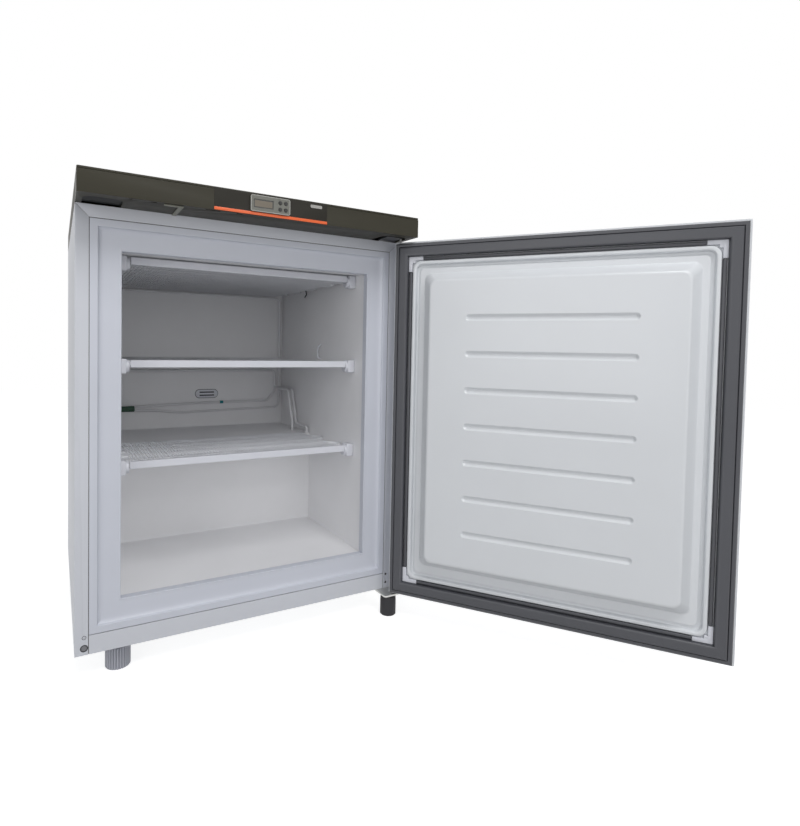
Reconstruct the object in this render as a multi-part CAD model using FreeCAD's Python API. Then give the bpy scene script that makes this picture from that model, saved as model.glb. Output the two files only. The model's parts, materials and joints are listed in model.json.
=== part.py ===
import FreeCAD, Part
import math
import os

os.makedirs("parts", exist_ok=True)

# Undercounter medical freezer with its door standing open.
# Millimetres. X runs to the viewer's right, the front faces -Y, Z is up.
# The origin is on the floor, under the middle of the cabinet.

# Cabinet
cabinet_width = 600.0
cabinet_depth = 540.0
cabinet_bottom = 47.0
lid_underside = 772.0
lid_height = 38.0
sheet = 0.9
flange_width = 20.0
back_flange_width = 15.0
bottom_rail_height = 31.0
bottom_rail_fold = 12.0

# Breaker frame round the opening, measured inwards from the flange
flange_gap = 1.0
breaker_flat = 12.0
breaker_groove = 3.0
breaker_groove_depth = 2.2
breaker_groove_lip_share = 0.3
breaker_bevel = 10.5
hollow_across_share = 0.36
hollow_depth_share = 0.62
breaker_recess = 6.0
breaker_wall = 2.5
breaker_lip = 14.0
strip_width = 48.0
mitre_gap = 0.3

# Inner liner
liner_wall = 1.2
liner_lap = 0.2
liner_corner = 4.0
back_insulation = 50.0
bay_depth = 203.8
hump_height = 213.7
hump_insulation = 45.0
seat_gap = 0.2

# Lid and fascia
fascia_overhang = 72.0
lid_wall = 3.0
lid_top_wall = 4.0
lid_rib_count = 4
fascia_floor_wall = 2.5
hinge_pocket_width = 57.0
hinge_pocket_depth = 52.0
hinge_pocket_radius = 16.0
hinge_pocket_edge = 9.0
hinge_pin_hole = 4.2
pocket_cover_wall = 2.0
slot_width = 4.0
slot_forward = 66.0
slots = ((-226.0, 5.0), (-192.0, 9.0), (-101.0, 24.0), (-57.0, 10.0))
clip_arm_length = 26.0
clip_arm_width = 5.0
clip_stem_width = 7.0
clip_wall = 2.2
clip_x = -151.0
clip_front = 66.0

# Controller on the fascia
overlay_width = 202.0
overlay_height = 31.0
overlay_wall = 0.6
trim_strip_height = 3.0
trim_strip_rise = 2.0
trim_strip_wall = 1.2
bezel_width = 70.0
bezel_height = 27.0
bezel_wall = 3.0
bezel_left = -41.0
bezel_bottom_gap = 6.2
bezel_corner = 3.0
display_width = 34.5
display_height = 14.0
display_left = 5.2
display_recess = 0.6
display_clearance = 0.2
controller_depth = 46.0
controller_margin = 3.0
controller_clearance = 0.4
button_radius = 3.2
button_clearance = 0.3
button_proud = 1.4
button_collar_radius = 4.1
button_collar = 1.0
button_travel = 1.0
button_stem_radius = 1.6
button_stem_length = 5.0
button_columns = (52.0, 62.0)
button_rows = (8.2, 19.4)
badge_width = 22.0
badge_height = 5.4
badge_wall = 0.8
badge_corner_share = 0.3
badge_left = 68.6
badge_bottom_gap = 26.4

# Door, drawn shut and then swung open about the hinge pins
door_open_angle = 126.5
hinge_axis_inset = 8.0
hinge_axis_forward = 24.0
door_side_inset = 0.5
door_top_gap = 5.0
door_front_setback = 2.0
door_skin_wall = 0.9
door_skin_return = 14.0
door_cap_height = 5.0
door_corner_radius = 3.0
gasket_outer_inset = 7.0
gasket_width = 24.0
gasket_height = 12.4
gasket_side_share = 0.66
gasket_outer_lobe_share = 0.93
gasket_groove_share = 0.76
gasket_lobe_start = 0.1
gasket_outer_lobe_end = 0.34
gasket_groove_place = 0.38
gasket_inner_lobe_start = 0.42
gasket_inner_lobe_end = 0.92
gasket_closed_gap = 0.6
gasket_lip_width = 6.0
gasket_lip_gap = 1.6
gasket_lip_height = 5.5
corner_block_arm = 30.0
corner_block_height = 5.0
door_liner_wall = 3.0
liner_ridge_centre = 43.5
liner_ridge_width = 8.0
liner_ridge_taper_share = 0.25
liner_ridge_height = 6.0
liner_ridge_corner = 12.0
liner_channel_width = 6.0
liner_channel_depth = 1.8
field_foot_inset = 65.0
field_top_inset = 82.0
field_height = 27.0
field_low_extra = 6.0
field_corner = 14.0
field_edge = 2.5
field_edge_share = 0.6
rib_count = 7
rib_pitch = 68.5
rib_length = 287.0
rib_width = 7.0
rib_depth = 2.5
rib_narrowing_share = 0.25
rib_corner_share = 0.45
rib_end_share = 0.6
grip_height = 58.0
grip_from_top = 51.0
grip_depth = 8.0
grip_reach = 32.0
grip_wall = 1.2
bush_radius = 5.0
bush_flange_radius = 6.5
bush_flange = 1.0
bush_length = 15.0
bush_end_wall = 1.0
bush_plate_gap = 0.4

# Hinges
pin_radius = 3.0
pin_running_gap = 0.05
pin_engagement = 12.0
plate = 3.0
lower_plate_width = 37.0
lower_plate_forward = 36.0
lower_plate_back = 70.0
lower_screw_shares = (0.45, 0.8)
upper_plate_width = 42.0
upper_plate_forward = 30.0
upper_plate_lap = 6.0
upper_plate_back = 60.0
upper_screw_shares = (0.4, 0.75)
plate_corner = 6.0
pin_head_radius = 4.2
pin_head = 1.6
screw_radius = 2.5
screw_head_radius = 4.6
screw_head = 2.4
screw_length = 14.0

# Plugs in the flange for a door hung on the other side
plug_radius = 3.3
plug_proud = 0.3
plug_height = 76.0
hex_across_flats = 9.2
hex_sides = 6
hex_proud = 0.3
hex_height = 58.5
plug_inset = 14.0
plug_depth = 6.0

# Feet
foot_inset_x = 68.0
foot_back = 37.0
foot_radius = 20.5
foot_height = 37.0
foot_rib_count = 16
foot_rib_depth = 1.2
foot_rib_share = 0.3
foot_collar_radius = 13.0
foot_collar = 3.0
foot_pad = 4.0
stud_end_gap = 1.0
hinge_foot_radius = 16.5
hinge_foot_inset = 17.0
hinge_foot_forward = 16.0
hinge_foot_height = 41.0
hinge_foot_edge = 4.0
foot_bolt_radius = 3.0
foot_bolt_head_radius = 4.4
foot_bolt_head = 1.6
foot_bolt_length = 24.0
stud_radius = 5.0
stud_hole_radius = 6.0
stud_running_gap = 0.05
stud_length = 22.0
nut_radius = 9.0
nut_height = 12.0
rear_foot_radius = 14.0
rear_foot_edge = 1.0
rear_foot_waist_share = 0.85
rear_foot_back = 62.0

# Evaporator shelves and pipes
shelf_front = 57.0
shelf_count = 3
bar_below_ledge = 6.0
top_bar_gap = 15.7
bar_height = 13.0
bar_depth = 11.0
bar_wall = 2.0
shelf_tube_radius = 3.6
shelf_first_tube = 96.0
shelf_rear_gap = 18.0
lower_rear_gap = 6.0
shelf_side_gap = 5.2
shelf_tube_drop = 1.5
lower_shelf_tubes = 5
upper_shelf_tubes = 9
wire_thickness = 1.6
wire_side_gap = 28.5
wire_count = 44
clip_block_width = 16.0
clip_block_height = 26.0
clip_block_depth = 24.0
clip_drop = 11.0
clip_boss_radius = 8.5
clip_boss_length = 6.0
clip_boss_bore = 4.5
clip_edge = 2.0
riser_radius = 3.2
riser_bend = 14.0
riser_small_bend = 6.0
riser_wall_bend = 5.5
riser_wall_gap = 0.8
riser_outer_gap = 9.7
riser_spacing = 12.0
riser_rise = 5.0
riser_drop = 30.0
riser_low = 36.0
riser_dip = 4.0
riser_dip_x = -60.0
riser_turn = 86.0
riser_jog = 26.0
riser_fork = 101.0
riser_over_ledge = 62.0
riser_before_wall = 104.0
riser_ledge_gap = 15.0
riser_pair_half = 4.0
riser_sleeve_step = 4.6
sleeve_radius = 7.8
sleeve_length = 26.0
sleeve_side_gap = 32.7
sleeve_rise = 54.0
sensor_cover_length = 58.0
sensor_cover_height = 21.0
sensor_cover_corner_share = 0.49
sensor_cover_wall = 3.0
sensor_cover_x = 24.0
sensor_cover_rise = 87.0
sensor_slot_length = 38.0
sensor_slot_height = 3.2
sensor_slot_gap = 8.0
sensor_slot_floor = 1.0

# Refrigeration unit in the rear bay
carrier_front = 24.0
carrier_back = 8.0
carrier_fold = 14.0
carrier_wall = 2.0
compressor_radius = 74.0
compressor_base_share = 0.86
compressor_base_rise_share = 0.25
compressor_shoulder_share = 0.4
compressor_dome_share = 0.88
compressor_dome_drop_share = 0.13
compressor_top_share = 0.55
compressor_wall_share = 0.9
compressor_height = 150.0
compressor_seam = 62.0
compressor_seam_rim = 4.0
compressor_x = 90.0
compressor_foot_length = 208.0
compressor_foot_width = 26.0
compressor_foot_wall = 3.0
grommet_radius = 11.0
grommet_height = 16.0
grommet_spread = 92.0
grommet_span = 60.0
terminal_width = 62.0
terminal_height = 56.0
terminal_depth = 30.0
terminal_start_share = 0.8
terminal_rise_share = 0.45
condenser_gap = 16.0
condenser_tube_radius = 2.6
condenser_half_width = 240.0
condenser_rise = 38.2
condenser_top_gap = 94.0
condenser_rows = 7
condenser_wire_count = 22
condenser_wire = 1.6
condenser_wire_overhang = 10.0
condenser_tail = 18.0
condenser_start_inset = 16.0
condenser_bend = 12.0
bracket_width = 14.0
bracket_place_share = 0.8
bracket_height = 10.0
bay_pipe_radius = 3.2
drier_radius = 9.0
drier_length = 70.0
drier_neck_share = 0.1
drier_neck_radius_share = 0.5
drier_height = 160.0
capillary_radius = 1.2
discharge_height = 110.0
suction_height = 178.0
gland_radius = 11.0
gland_length = 12.0
gland_spigot_radius = 6.0
gland_bore = 3.5
gland_flange = 3.0
gland_nose = 12.0
gland_nose_radius = 8.0
gland_x = -170.0
gland_rise = 14.2

# Flat sides that stand for a full round on slim, small and hidden pieces
round_sides = 20
small_sides = 8
tube_sides = 6
shortest_line = 1e-6
shortest_leg = 0.01
nearly_upright = 0.9
corner_steps = 3

# Places worked out from the sizes above
half_width = cabinet_width / 2.0
front = -cabinet_depth / 2.0
back = cabinet_depth / 2.0
lid_top = lid_underside + lid_height
fascia_front = front - fascia_overhang
frame_outer = half_width - flange_width - flange_gap
frame_bottom = cabinet_bottom + bottom_rail_height + flange_gap
frame_top = lid_underside - flange_width - flange_gap
opening_half_width = frame_outer - strip_width
opening_bottom = frame_bottom + strip_width
opening_top = frame_top - strip_width
breaker_back = breaker_recess + breaker_wall
liner_half = opening_half_width + breaker_wall + liner_lap
liner_floor = opening_bottom - breaker_wall - liner_lap
liner_ceiling = opening_top + breaker_wall + liner_lap
liner_depth = cabinet_depth - back_insulation
hump_depth = cabinet_depth - bay_depth - hump_insulation - liner_wall
hump_top = liner_floor + hump_height
liner_front = front + breaker_back
foam_front = liner_front + liner_wall
bay_front = back - bay_depth
bay_top = hump_top - liner_wall - hump_insulation
pin_x = half_width - hinge_axis_inset
pin_y = front - hinge_axis_forward
door_half = half_width - door_side_inset
door_bottom = cabinet_bottom + bush_plate_gap + bush_flange
door_top = lid_underside - door_top_gap
door_front = fascia_front + door_front_setback
door_mid_z = (door_bottom + door_top) / 2.0
gasket_face = front - gasket_closed_gap
door_liner_face = gasket_face - gasket_height
bezel_front = fascia_front - overlay_wall - bezel_wall
bezel_bottom = lid_underside + bezel_bottom_gap
hinge_foot_x = half_width - hinge_foot_inset
hinge_foot_y = front - hinge_foot_forward
foot_x = foot_inset_x - half_width
foot_y = front + foot_back
lowest_bar_bottom = hump_top - bar_below_ledge
shelf_pitch = (liner_ceiling - top_bar_gap - lowest_bar_bottom) / (shelf_count - 1)
upper_tube_pitch = (liner_depth - shelf_rear_gap - shelf_first_tube) / (upper_shelf_tubes - 1)
lower_tube_pitch = (hump_depth - lower_rear_gap - shelf_first_tube) / (lower_shelf_tubes - 1)
upper_run_half = liner_half - shelf_side_gap - upper_tube_pitch / 2.0
lower_run_half = liner_half - shelf_side_gap - lower_tube_pitch / 2.0
wire_half_span = liner_half - wire_side_gap
sleeve_left = sleeve_side_gap - liner_half
sleeve_z = hump_top + sleeve_rise
sensor_cover_z = hump_top + sensor_cover_rise
condenser_bottom = bay_top + condenser_rise
condenser_pitch = (lid_underside - condenser_top_gap - condenser_bottom) / (condenser_rows - 1)
gland_z = bay_top + gland_rise


def box(x0, x1, y0, y1, z0, z1):
    """A block between two corners."""
    size = FreeCAD.Vector(x1 - x0, y1 - y0, z1 - z0)
    return Part.makeBox(size.x, size.y, size.z, FreeCAD.Vector(x0, y0, z0))


def rod(radius, height, x, y, z, direction=(0, 0, 1)):
    """A round bar from a point along a direction."""
    return Part.makeCylinder(radius, height, FreeCAD.Vector(x, y, z), FreeCAD.Vector(*direction))


def rounded_outline(points, radii):
    """A closed flat wire through the points, each corner rounded by its own radius."""
    corners = [FreeCAD.Vector(*p) for p in points]
    count = len(corners)
    starts = []
    ends = []
    for i, corner in enumerate(corners):
        before = (corners[i - 1] - corner).normalize()
        after = (corners[(i + 1) % count] - corner).normalize()
        reach = 0.0
        if radii[i] > 0:
            reach = radii[i] / math.tan(before.getAngle(after) / 2.0)
        starts.append(corner + before * reach)
        ends.append(corner + after * reach)
    edges = []
    for i, corner in enumerate(corners):
        if radii[i] > 0:
            bisector = (starts[i] + ends[i]) * 0.5 - corner
            half_turn = (starts[i] - corner).getAngle(bisector)
            centre_distance = radii[i] / math.sin(half_turn)
            middle = corner + bisector.normalize() * (centre_distance - radii[i])
            edges.append(Part.Arc(starts[i], middle, ends[i]).toShape())
        following = starts[(i + 1) % count]
        if (following - ends[i]).Length > shortest_line:
            edges.append(Part.LineSegment(ends[i], following).toShape())
    return Part.Wire(edges)


def prism(points, direction, radius=0.0):
    """A closed outline swept along a straight direction."""
    wire = rounded_outline(points, [radius] * len(points))
    return Part.Face(wire).extrude(FreeCAD.Vector(*direction))


def rounded_plate(x0, x1, z0, z1, y, depth, radius):
    """A flat plate facing the front, with rounded corners."""
    corners = ((x0, y, z0), (x1, y, z0), (x1, y, z1), (x0, y, z1))
    return prism(corners, (0, depth, 0), radius)


def level_plate(x0, x1, y0, y1, z, height, radius):
    """A level plate with rounded corners."""
    corners = ((x0, y0, z), (x1, y0, z), (x1, y1, z), (x0, y1, z))
    return prism(corners, (0, 0, height), radius)


def faceted_rod(radius, height, x, y, z, direction=(0, 0, 1), sides=small_sides):
    """A bar with a few flat sides in place of a full round."""
    axis = FreeCAD.Vector(*direction).normalize()
    side = FreeCAD.Vector(1, 0, 0)
    if abs(axis.z) < 0.5:
        side = FreeCAD.Vector(0, 0, 1)
    other = axis.cross(side)
    start = FreeCAD.Vector(x, y, z)
    corners = []
    for i in range(sides):
        angle = 2.0 * math.pi * i / sides
        corners.append(start + side * (radius * math.cos(angle)) + other * (radius * math.sin(angle)))
    return Part.Face(Part.makePolygon(corners + [corners[0]])).extrude(axis * height)


def skinned(rings):
    """A solid skinned over closed rings of points, flat between one ring and the next."""
    faces = []
    for low, high in zip(rings, rings[1:]):
        for i in range(len(low)):
            corners = [low[i - 1], low[i], high[i], high[i - 1], low[i - 1]]
            faces.append(Part.Face(Part.makePolygon(corners)))
    for cap in (rings[0], rings[-1]):
        faces.append(Part.Face(Part.makePolygon(cap + [cap[0]])))
    shell = Part.makeShell(faces)
    shell.sewShape()
    solid = Part.makeSolid(shell)
    if solid.Volume < 0:
        solid.reverse()
    return solid


def turned(profile, x, y):
    """An upright turned piece from radius and height pairs."""
    rings = []
    for radius, z in profile:
        points = []
        for i in range(round_sides):
            angle = 2.0 * math.pi * (i + 0.5) / round_sides
            points.append(FreeCAD.Vector(x + radius * math.cos(angle), y + radius * math.sin(angle), z))
        rings.append(points)
    return skinned(rings).removeSplitter()


def bent_path(points, bend):
    """A line through corners, each corner turned into an arc's start, middle and end."""
    path = [FreeCAD.Vector(*points[0])]
    for i in range(1, len(points) - 1):
        corner = FreeCAD.Vector(*points[i])
        incoming = (corner - FreeCAD.Vector(*points[i - 1])).normalize()
        outgoing = (FreeCAD.Vector(*points[i + 1]) - corner).normalize()
        half_turn = incoming.getAngle(outgoing) / 2.0
        reach = bend * math.tan(half_turn)
        bisector = (outgoing - incoming).normalize()
        middle = corner + bisector * (bend / math.cos(half_turn) - bend)
        for place in (corner - incoming * reach, middle, corner + outgoing * reach):
            if (place - path[-1]).Length > shortest_leg:
                path.append(place)
    path.append(FreeCAD.Vector(*points[-1]))
    return path


def tube(points, radius, bend):
    """A slim pipe along bent runs: six flat sides, and mitred steps round each bend."""
    path = bent_path(points, bend)
    along = (path[1] - path[0]).normalize()
    side = FreeCAD.Vector(1, 0, 0)
    if abs(along.z) < nearly_upright:
        side = along.cross(FreeCAD.Vector(0, 0, 1)).normalize()
    up = side.cross(along)
    outer = radius / math.cos(math.pi / tube_sides)
    ring = []
    for i in range(tube_sides):
        angle = 2.0 * math.pi * i / tube_sides
        ring.append(path[0] + side * (outer * math.cos(angle)) + up * (outer * math.sin(angle)))
    rings = [ring]
    for i in range(1, len(path)):
        along = (path[i] - path[i - 1]).normalize()
        normal = along
        if i < len(path) - 1:
            normal = (along + (path[i + 1] - path[i]).normalize()).normalize()
        ring = [p + along * ((path[i] - p).dot(normal) / along.dot(normal)) for p in ring]
        rings.append(ring)
    return skinned(rings)


def swing_open(shape):
    """Turn a piece of the door from shut to its open place."""
    turned = shape.copy()
    turned.rotate(FreeCAD.Vector(pin_x, pin_y, 0), FreeCAD.Vector(0, 0, 1), door_open_angle)
    return turned


def mirrored(shape):
    """The same piece on the other side of the cabinet."""
    return shape.mirror(FreeCAD.Vector(0, 0, 0), FreeCAD.Vector(1, 0, 0))


def group(shapes):
    """Separate solids that share one node."""
    return Part.makeCompound(shapes)


def save(name, shape):
    """Write one node."""
    shape.exportStep("parts/" + name + ".step")
    solids = len(shape.Solids)
    print(name, solids, "solids", round(shape.Volume / 1000.0, 2), "cm3", "valid", shape.isValid())


# Folded steel cabinet

def side_panel():
    """Left side panel with its mitred front flange and its rear flange."""
    wall = box(-half_width, -half_width + sheet, front, back, cabinet_bottom, lid_underside)
    flange_corners = (
        (-half_width, front, cabinet_bottom),
        (-half_width + flange_width, front, cabinet_bottom),
        (-half_width + flange_width, front, lid_underside - flange_width - mitre_gap),
        (-half_width, front, lid_underside - mitre_gap),
    )
    front_flange = prism(flange_corners, (0, sheet, 0))
    rear_flange = box(-half_width, -half_width + back_flange_width, back - sheet, back,
                      cabinet_bottom, lid_underside)
    panel = wall.multiFuse([front_flange, rear_flange])
    plug_x = -half_width + plug_inset
    for height in (plug_height, hex_height):
        panel = panel.cut(faceted_rod(screw_radius, sheet * 3, plug_x, front - sheet, height, (0, 1, 0)))
    return panel.removeSplitter()


def top_panel():
    """Flat top of the cabinet with its mitred front flange."""
    inner = half_width - sheet - seat_gap
    flat = box(-inner, inner, front, back - sheet - seat_gap, lid_underside - sheet, lid_underside)
    outer = half_width - sheet - mitre_gap
    reach = flange_width - sheet
    flange_corners = (
        (-outer, front, lid_underside - sheet),
        (outer, front, lid_underside - sheet),
        (outer - reach, front, lid_underside - sheet - reach),
        (-outer + reach, front, lid_underside - sheet - reach),
    )
    panel = flat.fuse(prism(flange_corners, (0, sheet, 0)))
    for x, y in upper_screw_places():
        panel = panel.cut(faceted_rod(screw_radius, sheet * 4, x, y, lid_underside - sheet * 2))
    return panel.removeSplitter()


def base_pan():
    """Bottom sheet that turns up and back round the compressor bay."""
    inner = half_width - sheet - seat_gap
    y0 = front + bottom_rail_fold + seat_gap
    y1 = back - sheet - seat_gap
    z0 = cabinet_bottom
    profile = (
        (-inner, y0, z0),
        (-inner, bay_front, z0),
        (-inner, bay_front, bay_top - sheet),
        (-inner, y1, bay_top - sheet),
        (-inner, y1, bay_top),
        (-inner, bay_front - sheet, bay_top),
        (-inner, bay_front - sheet, z0 + sheet),
        (-inner, y0, z0 + sheet),
    )
    pan = prism(profile, (2 * inner, 0, 0))
    pan = pan.cut(faceted_rod(stud_hole_radius, sheet * 4, foot_x, foot_y, z0 - sheet))
    for x, y in lower_screw_places():
        pan = pan.cut(faceted_rod(screw_radius, sheet * 4, x, y, z0 - sheet))
    return pan


def back_panel():
    """Flat sheet that closes the foam above the compressor bay."""
    inner = half_width - back_flange_width - seat_gap
    sheet_body = box(-inner, inner, back - sheet, back, bay_top, lid_underside - sheet - seat_gap)
    hole = faceted_rod(gland_spigot_radius, sheet * 3, gland_x, back - sheet * 2, gland_z, (0, 1, 0))
    return sheet_body.cut(hole)


def bottom_front_rail():
    """Folded rail under the opening, between the side flanges."""
    inner = half_width - flange_width - flange_gap
    z0 = cabinet_bottom
    z1 = cabinet_bottom + bottom_rail_height
    face = box(-inner, inner, front, front + sheet, z0, z1)
    lower_fold = box(-inner, inner, front, front + bottom_rail_fold, z0, z0 + sheet)
    upper_fold = box(-inner, inner, front, front + breaker_wall, z1 - sheet, z1)
    return face.multiFuse([lower_fold, upper_fold]).removeSplitter()


# Breaker frame

def breaker_profile():
    """Cross-section of a strip: distance in from the flange, depth behind the front."""
    flat_end = breaker_flat
    groove_end = breaker_flat + breaker_groove
    bevel_end = groove_end + breaker_bevel
    lip_end = breaker_recess + breaker_lip
    bevel_middle = (groove_end + breaker_bevel * hollow_across_share, breaker_recess * hollow_depth_share)
    points = {
        "outer": (0.0, 0.0),
        "flat_end": (flat_end, 0.0),
        "groove_in": (flat_end, breaker_groove_depth),
        "groove_out": (groove_end, breaker_groove_depth),
        "bevel_start": (groove_end, breaker_groove_depth * breaker_groove_lip_share),
        "bevel_middle": bevel_middle,
        "bevel_end": (bevel_end, breaker_recess),
        "lip_corner": (strip_width, breaker_recess),
        "lip_tip": (strip_width, lip_end),
        "lip_tip_back": (strip_width - breaker_wall, lip_end),
        "inner_corner": (strip_width - breaker_wall, breaker_back),
        "back_outer": (0.0, breaker_back),
    }
    return points


def breaker_strip(start, along, inward, length):
    """One strip of the breaker frame, mitred at both ends."""
    points = breaker_profile()
    origin = FreeCAD.Vector(*start)
    into = FreeCAD.Vector(*inward)
    down = FreeCAD.Vector(*along)
    depth = FreeCAD.Vector(0, 1, 0)

    def place(name):
        u, v = points[name]
        return origin + into * u + depth * v

    order = ("outer", "flat_end", "groove_in", "groove_out", "bevel_start")
    edges = []
    for first, second in zip(order, order[1:]):
        edges.append(Part.LineSegment(place(first), place(second)).toShape())
    edges.append(Part.Arc(place("bevel_start"), place("bevel_middle"), place("bevel_end")).toShape())
    order = ("bevel_end", "lip_corner", "lip_tip", "lip_tip_back", "inner_corner", "back_outer", "outer")
    for first, second in zip(order, order[1:]):
        edges.append(Part.LineSegment(place(first), place(second)).toShape())
    bar = Part.Face(Part.Wire(edges)).extrude(down * length)
    half_gap = mitre_gap / 2.0
    corner = origin - depth
    reach = strip_width + 1.0
    trapezoid = (
        corner + down * half_gap,
        corner + down * (length - half_gap),
        corner + down * (length - reach - half_gap) + into * reach,
        corner + down * (reach + half_gap) + into * reach,
    )
    cutter = prism([tuple(p) for p in trapezoid], (0, breaker_back + breaker_lip + 4.0, 0))
    return bar.common(cutter)


# Liner and insulation

def cavity(grow, y0):
    """The stepped inside space of the cabinet, grown outwards by a wall."""
    half = liner_half + grow
    floor = liner_floor - grow
    ceiling = liner_ceiling + grow
    deep = front + liner_depth + grow
    step = front + hump_depth + grow
    ledge = hump_top - grow
    corner = liner_corner + grow
    ledge_corner = liner_corner + liner_wall - grow
    profile = (
        (-half, y0, floor),
        (-half, step, floor),
        (-half, step, ledge),
        (-half, deep, ledge),
        (-half, deep, ceiling),
        (-half, y0, ceiling),
    )
    radii = (0.0, corner, ledge_corner, corner, corner, 0.0)
    return Part.Face(rounded_outline(profile, radii)).extrude(FreeCAD.Vector(2 * half, 0, 0))


def inner_liner():
    """Thin stepped liner with a front flange behind the breaker frame."""
    outside = cavity(liner_wall, liner_front)
    flange = box(-frame_outer, frame_outer, liner_front, liner_front + liner_wall, frame_bottom, frame_top)
    body = outside.fuse(flange)
    return body.cut(cavity(0.0, liner_front - liner_wall)).removeSplitter()


def insulation_foam():
    """The foam that fills the walls, injected between liner and sheet metal."""
    inner = half_width - sheet
    z0 = cabinet_bottom + sheet
    z1 = lid_underside - sheet
    y1 = back - sheet
    profile = (
        (-inner, foam_front, z0),
        (-inner, bay_front - sheet, z0),
        (-inner, bay_front - sheet, bay_top),
        (-inner, y1, bay_top),
        (-inner, y1, z1),
        (-inner, foam_front, z1),
    )
    foam = prism(profile, (2 * inner, 0, 0))
    front_sheet = front + sheet
    rim = box(-inner, inner, front_sheet, foam_front, z0, z1)
    rail_top = cabinet_bottom + bottom_rail_height - sheet
    rim = rim.cut(box(-frame_outer, frame_outer, front_sheet - 1.0, foam_front + 1.0, rail_top, frame_top))
    foam = foam.fuse(rim)
    foam = foam.cut(cavity(liner_wall, foam_front - 1.0))
    holes = [
        faceted_rod(nut_radius, nut_height, foot_x, foot_y, z0, sides=hex_sides),
        faceted_rod(stud_hole_radius, stud_length, foot_x, foot_y, z0),
        faceted_rod(gland_spigot_radius, gland_length, gland_x, back - gland_length, gland_z, (0, 1, 0)),
    ]
    for side in (-1, 1):
        for height in (plug_height, hex_height):
            holes.append(faceted_rod(screw_radius, plug_depth, side * (half_width - plug_inset), front_sheet,
                                     height, (0, 1, 0)))
    for x, y in lower_screw_places():
        holes.append(faceted_rod(screw_radius, screw_length, x, y, z0 - 1.0))
    for x, y in upper_screw_places():
        holes.append(faceted_rod(screw_radius, screw_length, x, y, z1 - screw_length + 1.0))
    for hole in holes:
        foam = foam.cut(hole)
    return foam.removeSplitter()


def foot_nut():
    """Threaded insert in the cabinet bottom for the left foot's stud."""
    z0 = cabinet_bottom + sheet
    body = faceted_rod(nut_radius, nut_height, foot_x, foot_y, z0, sides=hex_sides)
    return body.cut(rod(stud_radius + stud_running_gap, nut_height * 2, foot_x, foot_y, z0 - 1.0))


# Lid and fascia

def top_cover():
    """Dark lid over the whole top, a tray turned upside down with cross ribs."""
    outer = level_plate(-half_width, half_width, front, back, lid_underside, lid_height, 0.0)
    inside = box(-half_width + lid_wall, half_width - lid_wall, front - 1.0, back - lid_wall,
                 lid_underside - 1.0, lid_top - lid_top_wall)
    shell = outer.cut(inside)
    nose = box(-half_width, half_width, fascia_front, front, lid_top - lid_top_wall, lid_top)
    shell = shell.fuse(nose)
    spacing = (cabinet_depth - lid_wall) / (lid_rib_count + 1)
    for i in range(lid_rib_count):
        y = front + spacing * (i + 1)
        rib = box(-half_width + lid_wall, half_width - lid_wall, y, y + lid_wall,
                  lid_underside + seat_gap, lid_top - lid_top_wall)
        shell = shell.fuse(rib)
    return shell.removeSplitter()


def hinge_pocket(y1):
    """The arched opening under the right end of the fascia, where the upper hinge sits."""
    x1 = half_width - hinge_pocket_edge
    x0 = x1 - hinge_pocket_width
    return level_plate(x0, x1, front - hinge_pocket_depth, y1 + hinge_pocket_radius * 2,
                       lid_underside - 1.0, fascia_floor_wall + 2.0, hinge_pocket_radius)


def bezel_opening(grow):
    """The hole through fascia and overlay for the controller body."""
    x0 = bezel_left + controller_margin - grow
    x1 = bezel_left + bezel_width - controller_margin + grow
    z0 = bezel_bottom + controller_margin - grow
    z1 = bezel_bottom + bezel_height - controller_margin + grow
    return x0, x1, z0, z1


def fascia_panel():
    """Front moulding that overhangs the door: face, end walls and a slotted floor."""
    roof = lid_top - lid_top_wall - seat_gap
    outer = box(-half_width, half_width, fascia_front, front - seat_gap, lid_underside, roof)
    inside = box(-half_width + lid_wall, half_width - lid_wall, fascia_front + lid_wall, front,
                 lid_underside + fascia_floor_wall, roof + 1.0)
    shell = outer.cut(inside)
    pocket = hinge_pocket(front)
    shell = shell.cut(pocket)
    shell = shell.cut(mirrored(pocket))
    shell = shell.cut(rod(hinge_pin_hole, fascia_floor_wall + 2.0, pin_x, pin_y, lid_underside - 1.0))
    slot_y = front - slot_forward
    for x, length in slots:
        slot = box(x - length / 2.0, x + length / 2.0, slot_y - slot_width / 2.0, slot_y + slot_width / 2.0,
                   lid_underside - 1.0, lid_underside + fascia_floor_wall + 1.0)
        shell = shell.cut(slot)
    x0, x1, z0, z1 = bezel_opening(controller_clearance)
    shell = shell.cut(box(x0, x1, fascia_front - 1.0, fascia_front + lid_wall + 1.0, z0, z1))
    return shell.removeSplitter()


def left_hinge_cover():
    """Plate that closes the unused hinge pocket at the left end, set in a little."""
    x1 = -half_width + lid_wall + seat_gap
    width = hinge_pocket_width + hinge_pocket_edge + lid_wall
    z0 = lid_underside + fascia_floor_wall
    return box(x1, x1 + width, front - hinge_pocket_depth - lid_wall, front - seat_gap * 2,
               z0, z0 + pocket_cover_wall)


def fascia_clip():
    """Pale clip under the fascia: an arm near the front and a stem back to the cabinet."""
    z0 = lid_underside - clip_wall
    y0 = front - clip_front
    arm = box(clip_x - clip_arm_length, clip_x + clip_stem_width / 2.0, y0, y0 + clip_arm_width,
              z0, z0 + clip_wall)
    stem = box(clip_x - clip_stem_width / 2.0, clip_x + clip_stem_width / 2.0, y0, front - seat_gap,
               z0, z0 + clip_wall)
    return arm.fuse(stem).removeSplitter()


# Controller

def control_overlay():
    """Thin dark panel on the fascia, open behind the controller."""
    z0 = lid_underside + trim_strip_rise + trim_strip_height + seat_gap
    body = box(-overlay_width / 2.0, overlay_width / 2.0, fascia_front - overlay_wall, fascia_front,
               z0, z0 + overlay_height)
    x0, x1, w0, w1 = bezel_opening(controller_clearance)
    return body.cut(box(x0, x1, fascia_front - 2.0, fascia_front + 1.0, w0, w1))


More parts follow.
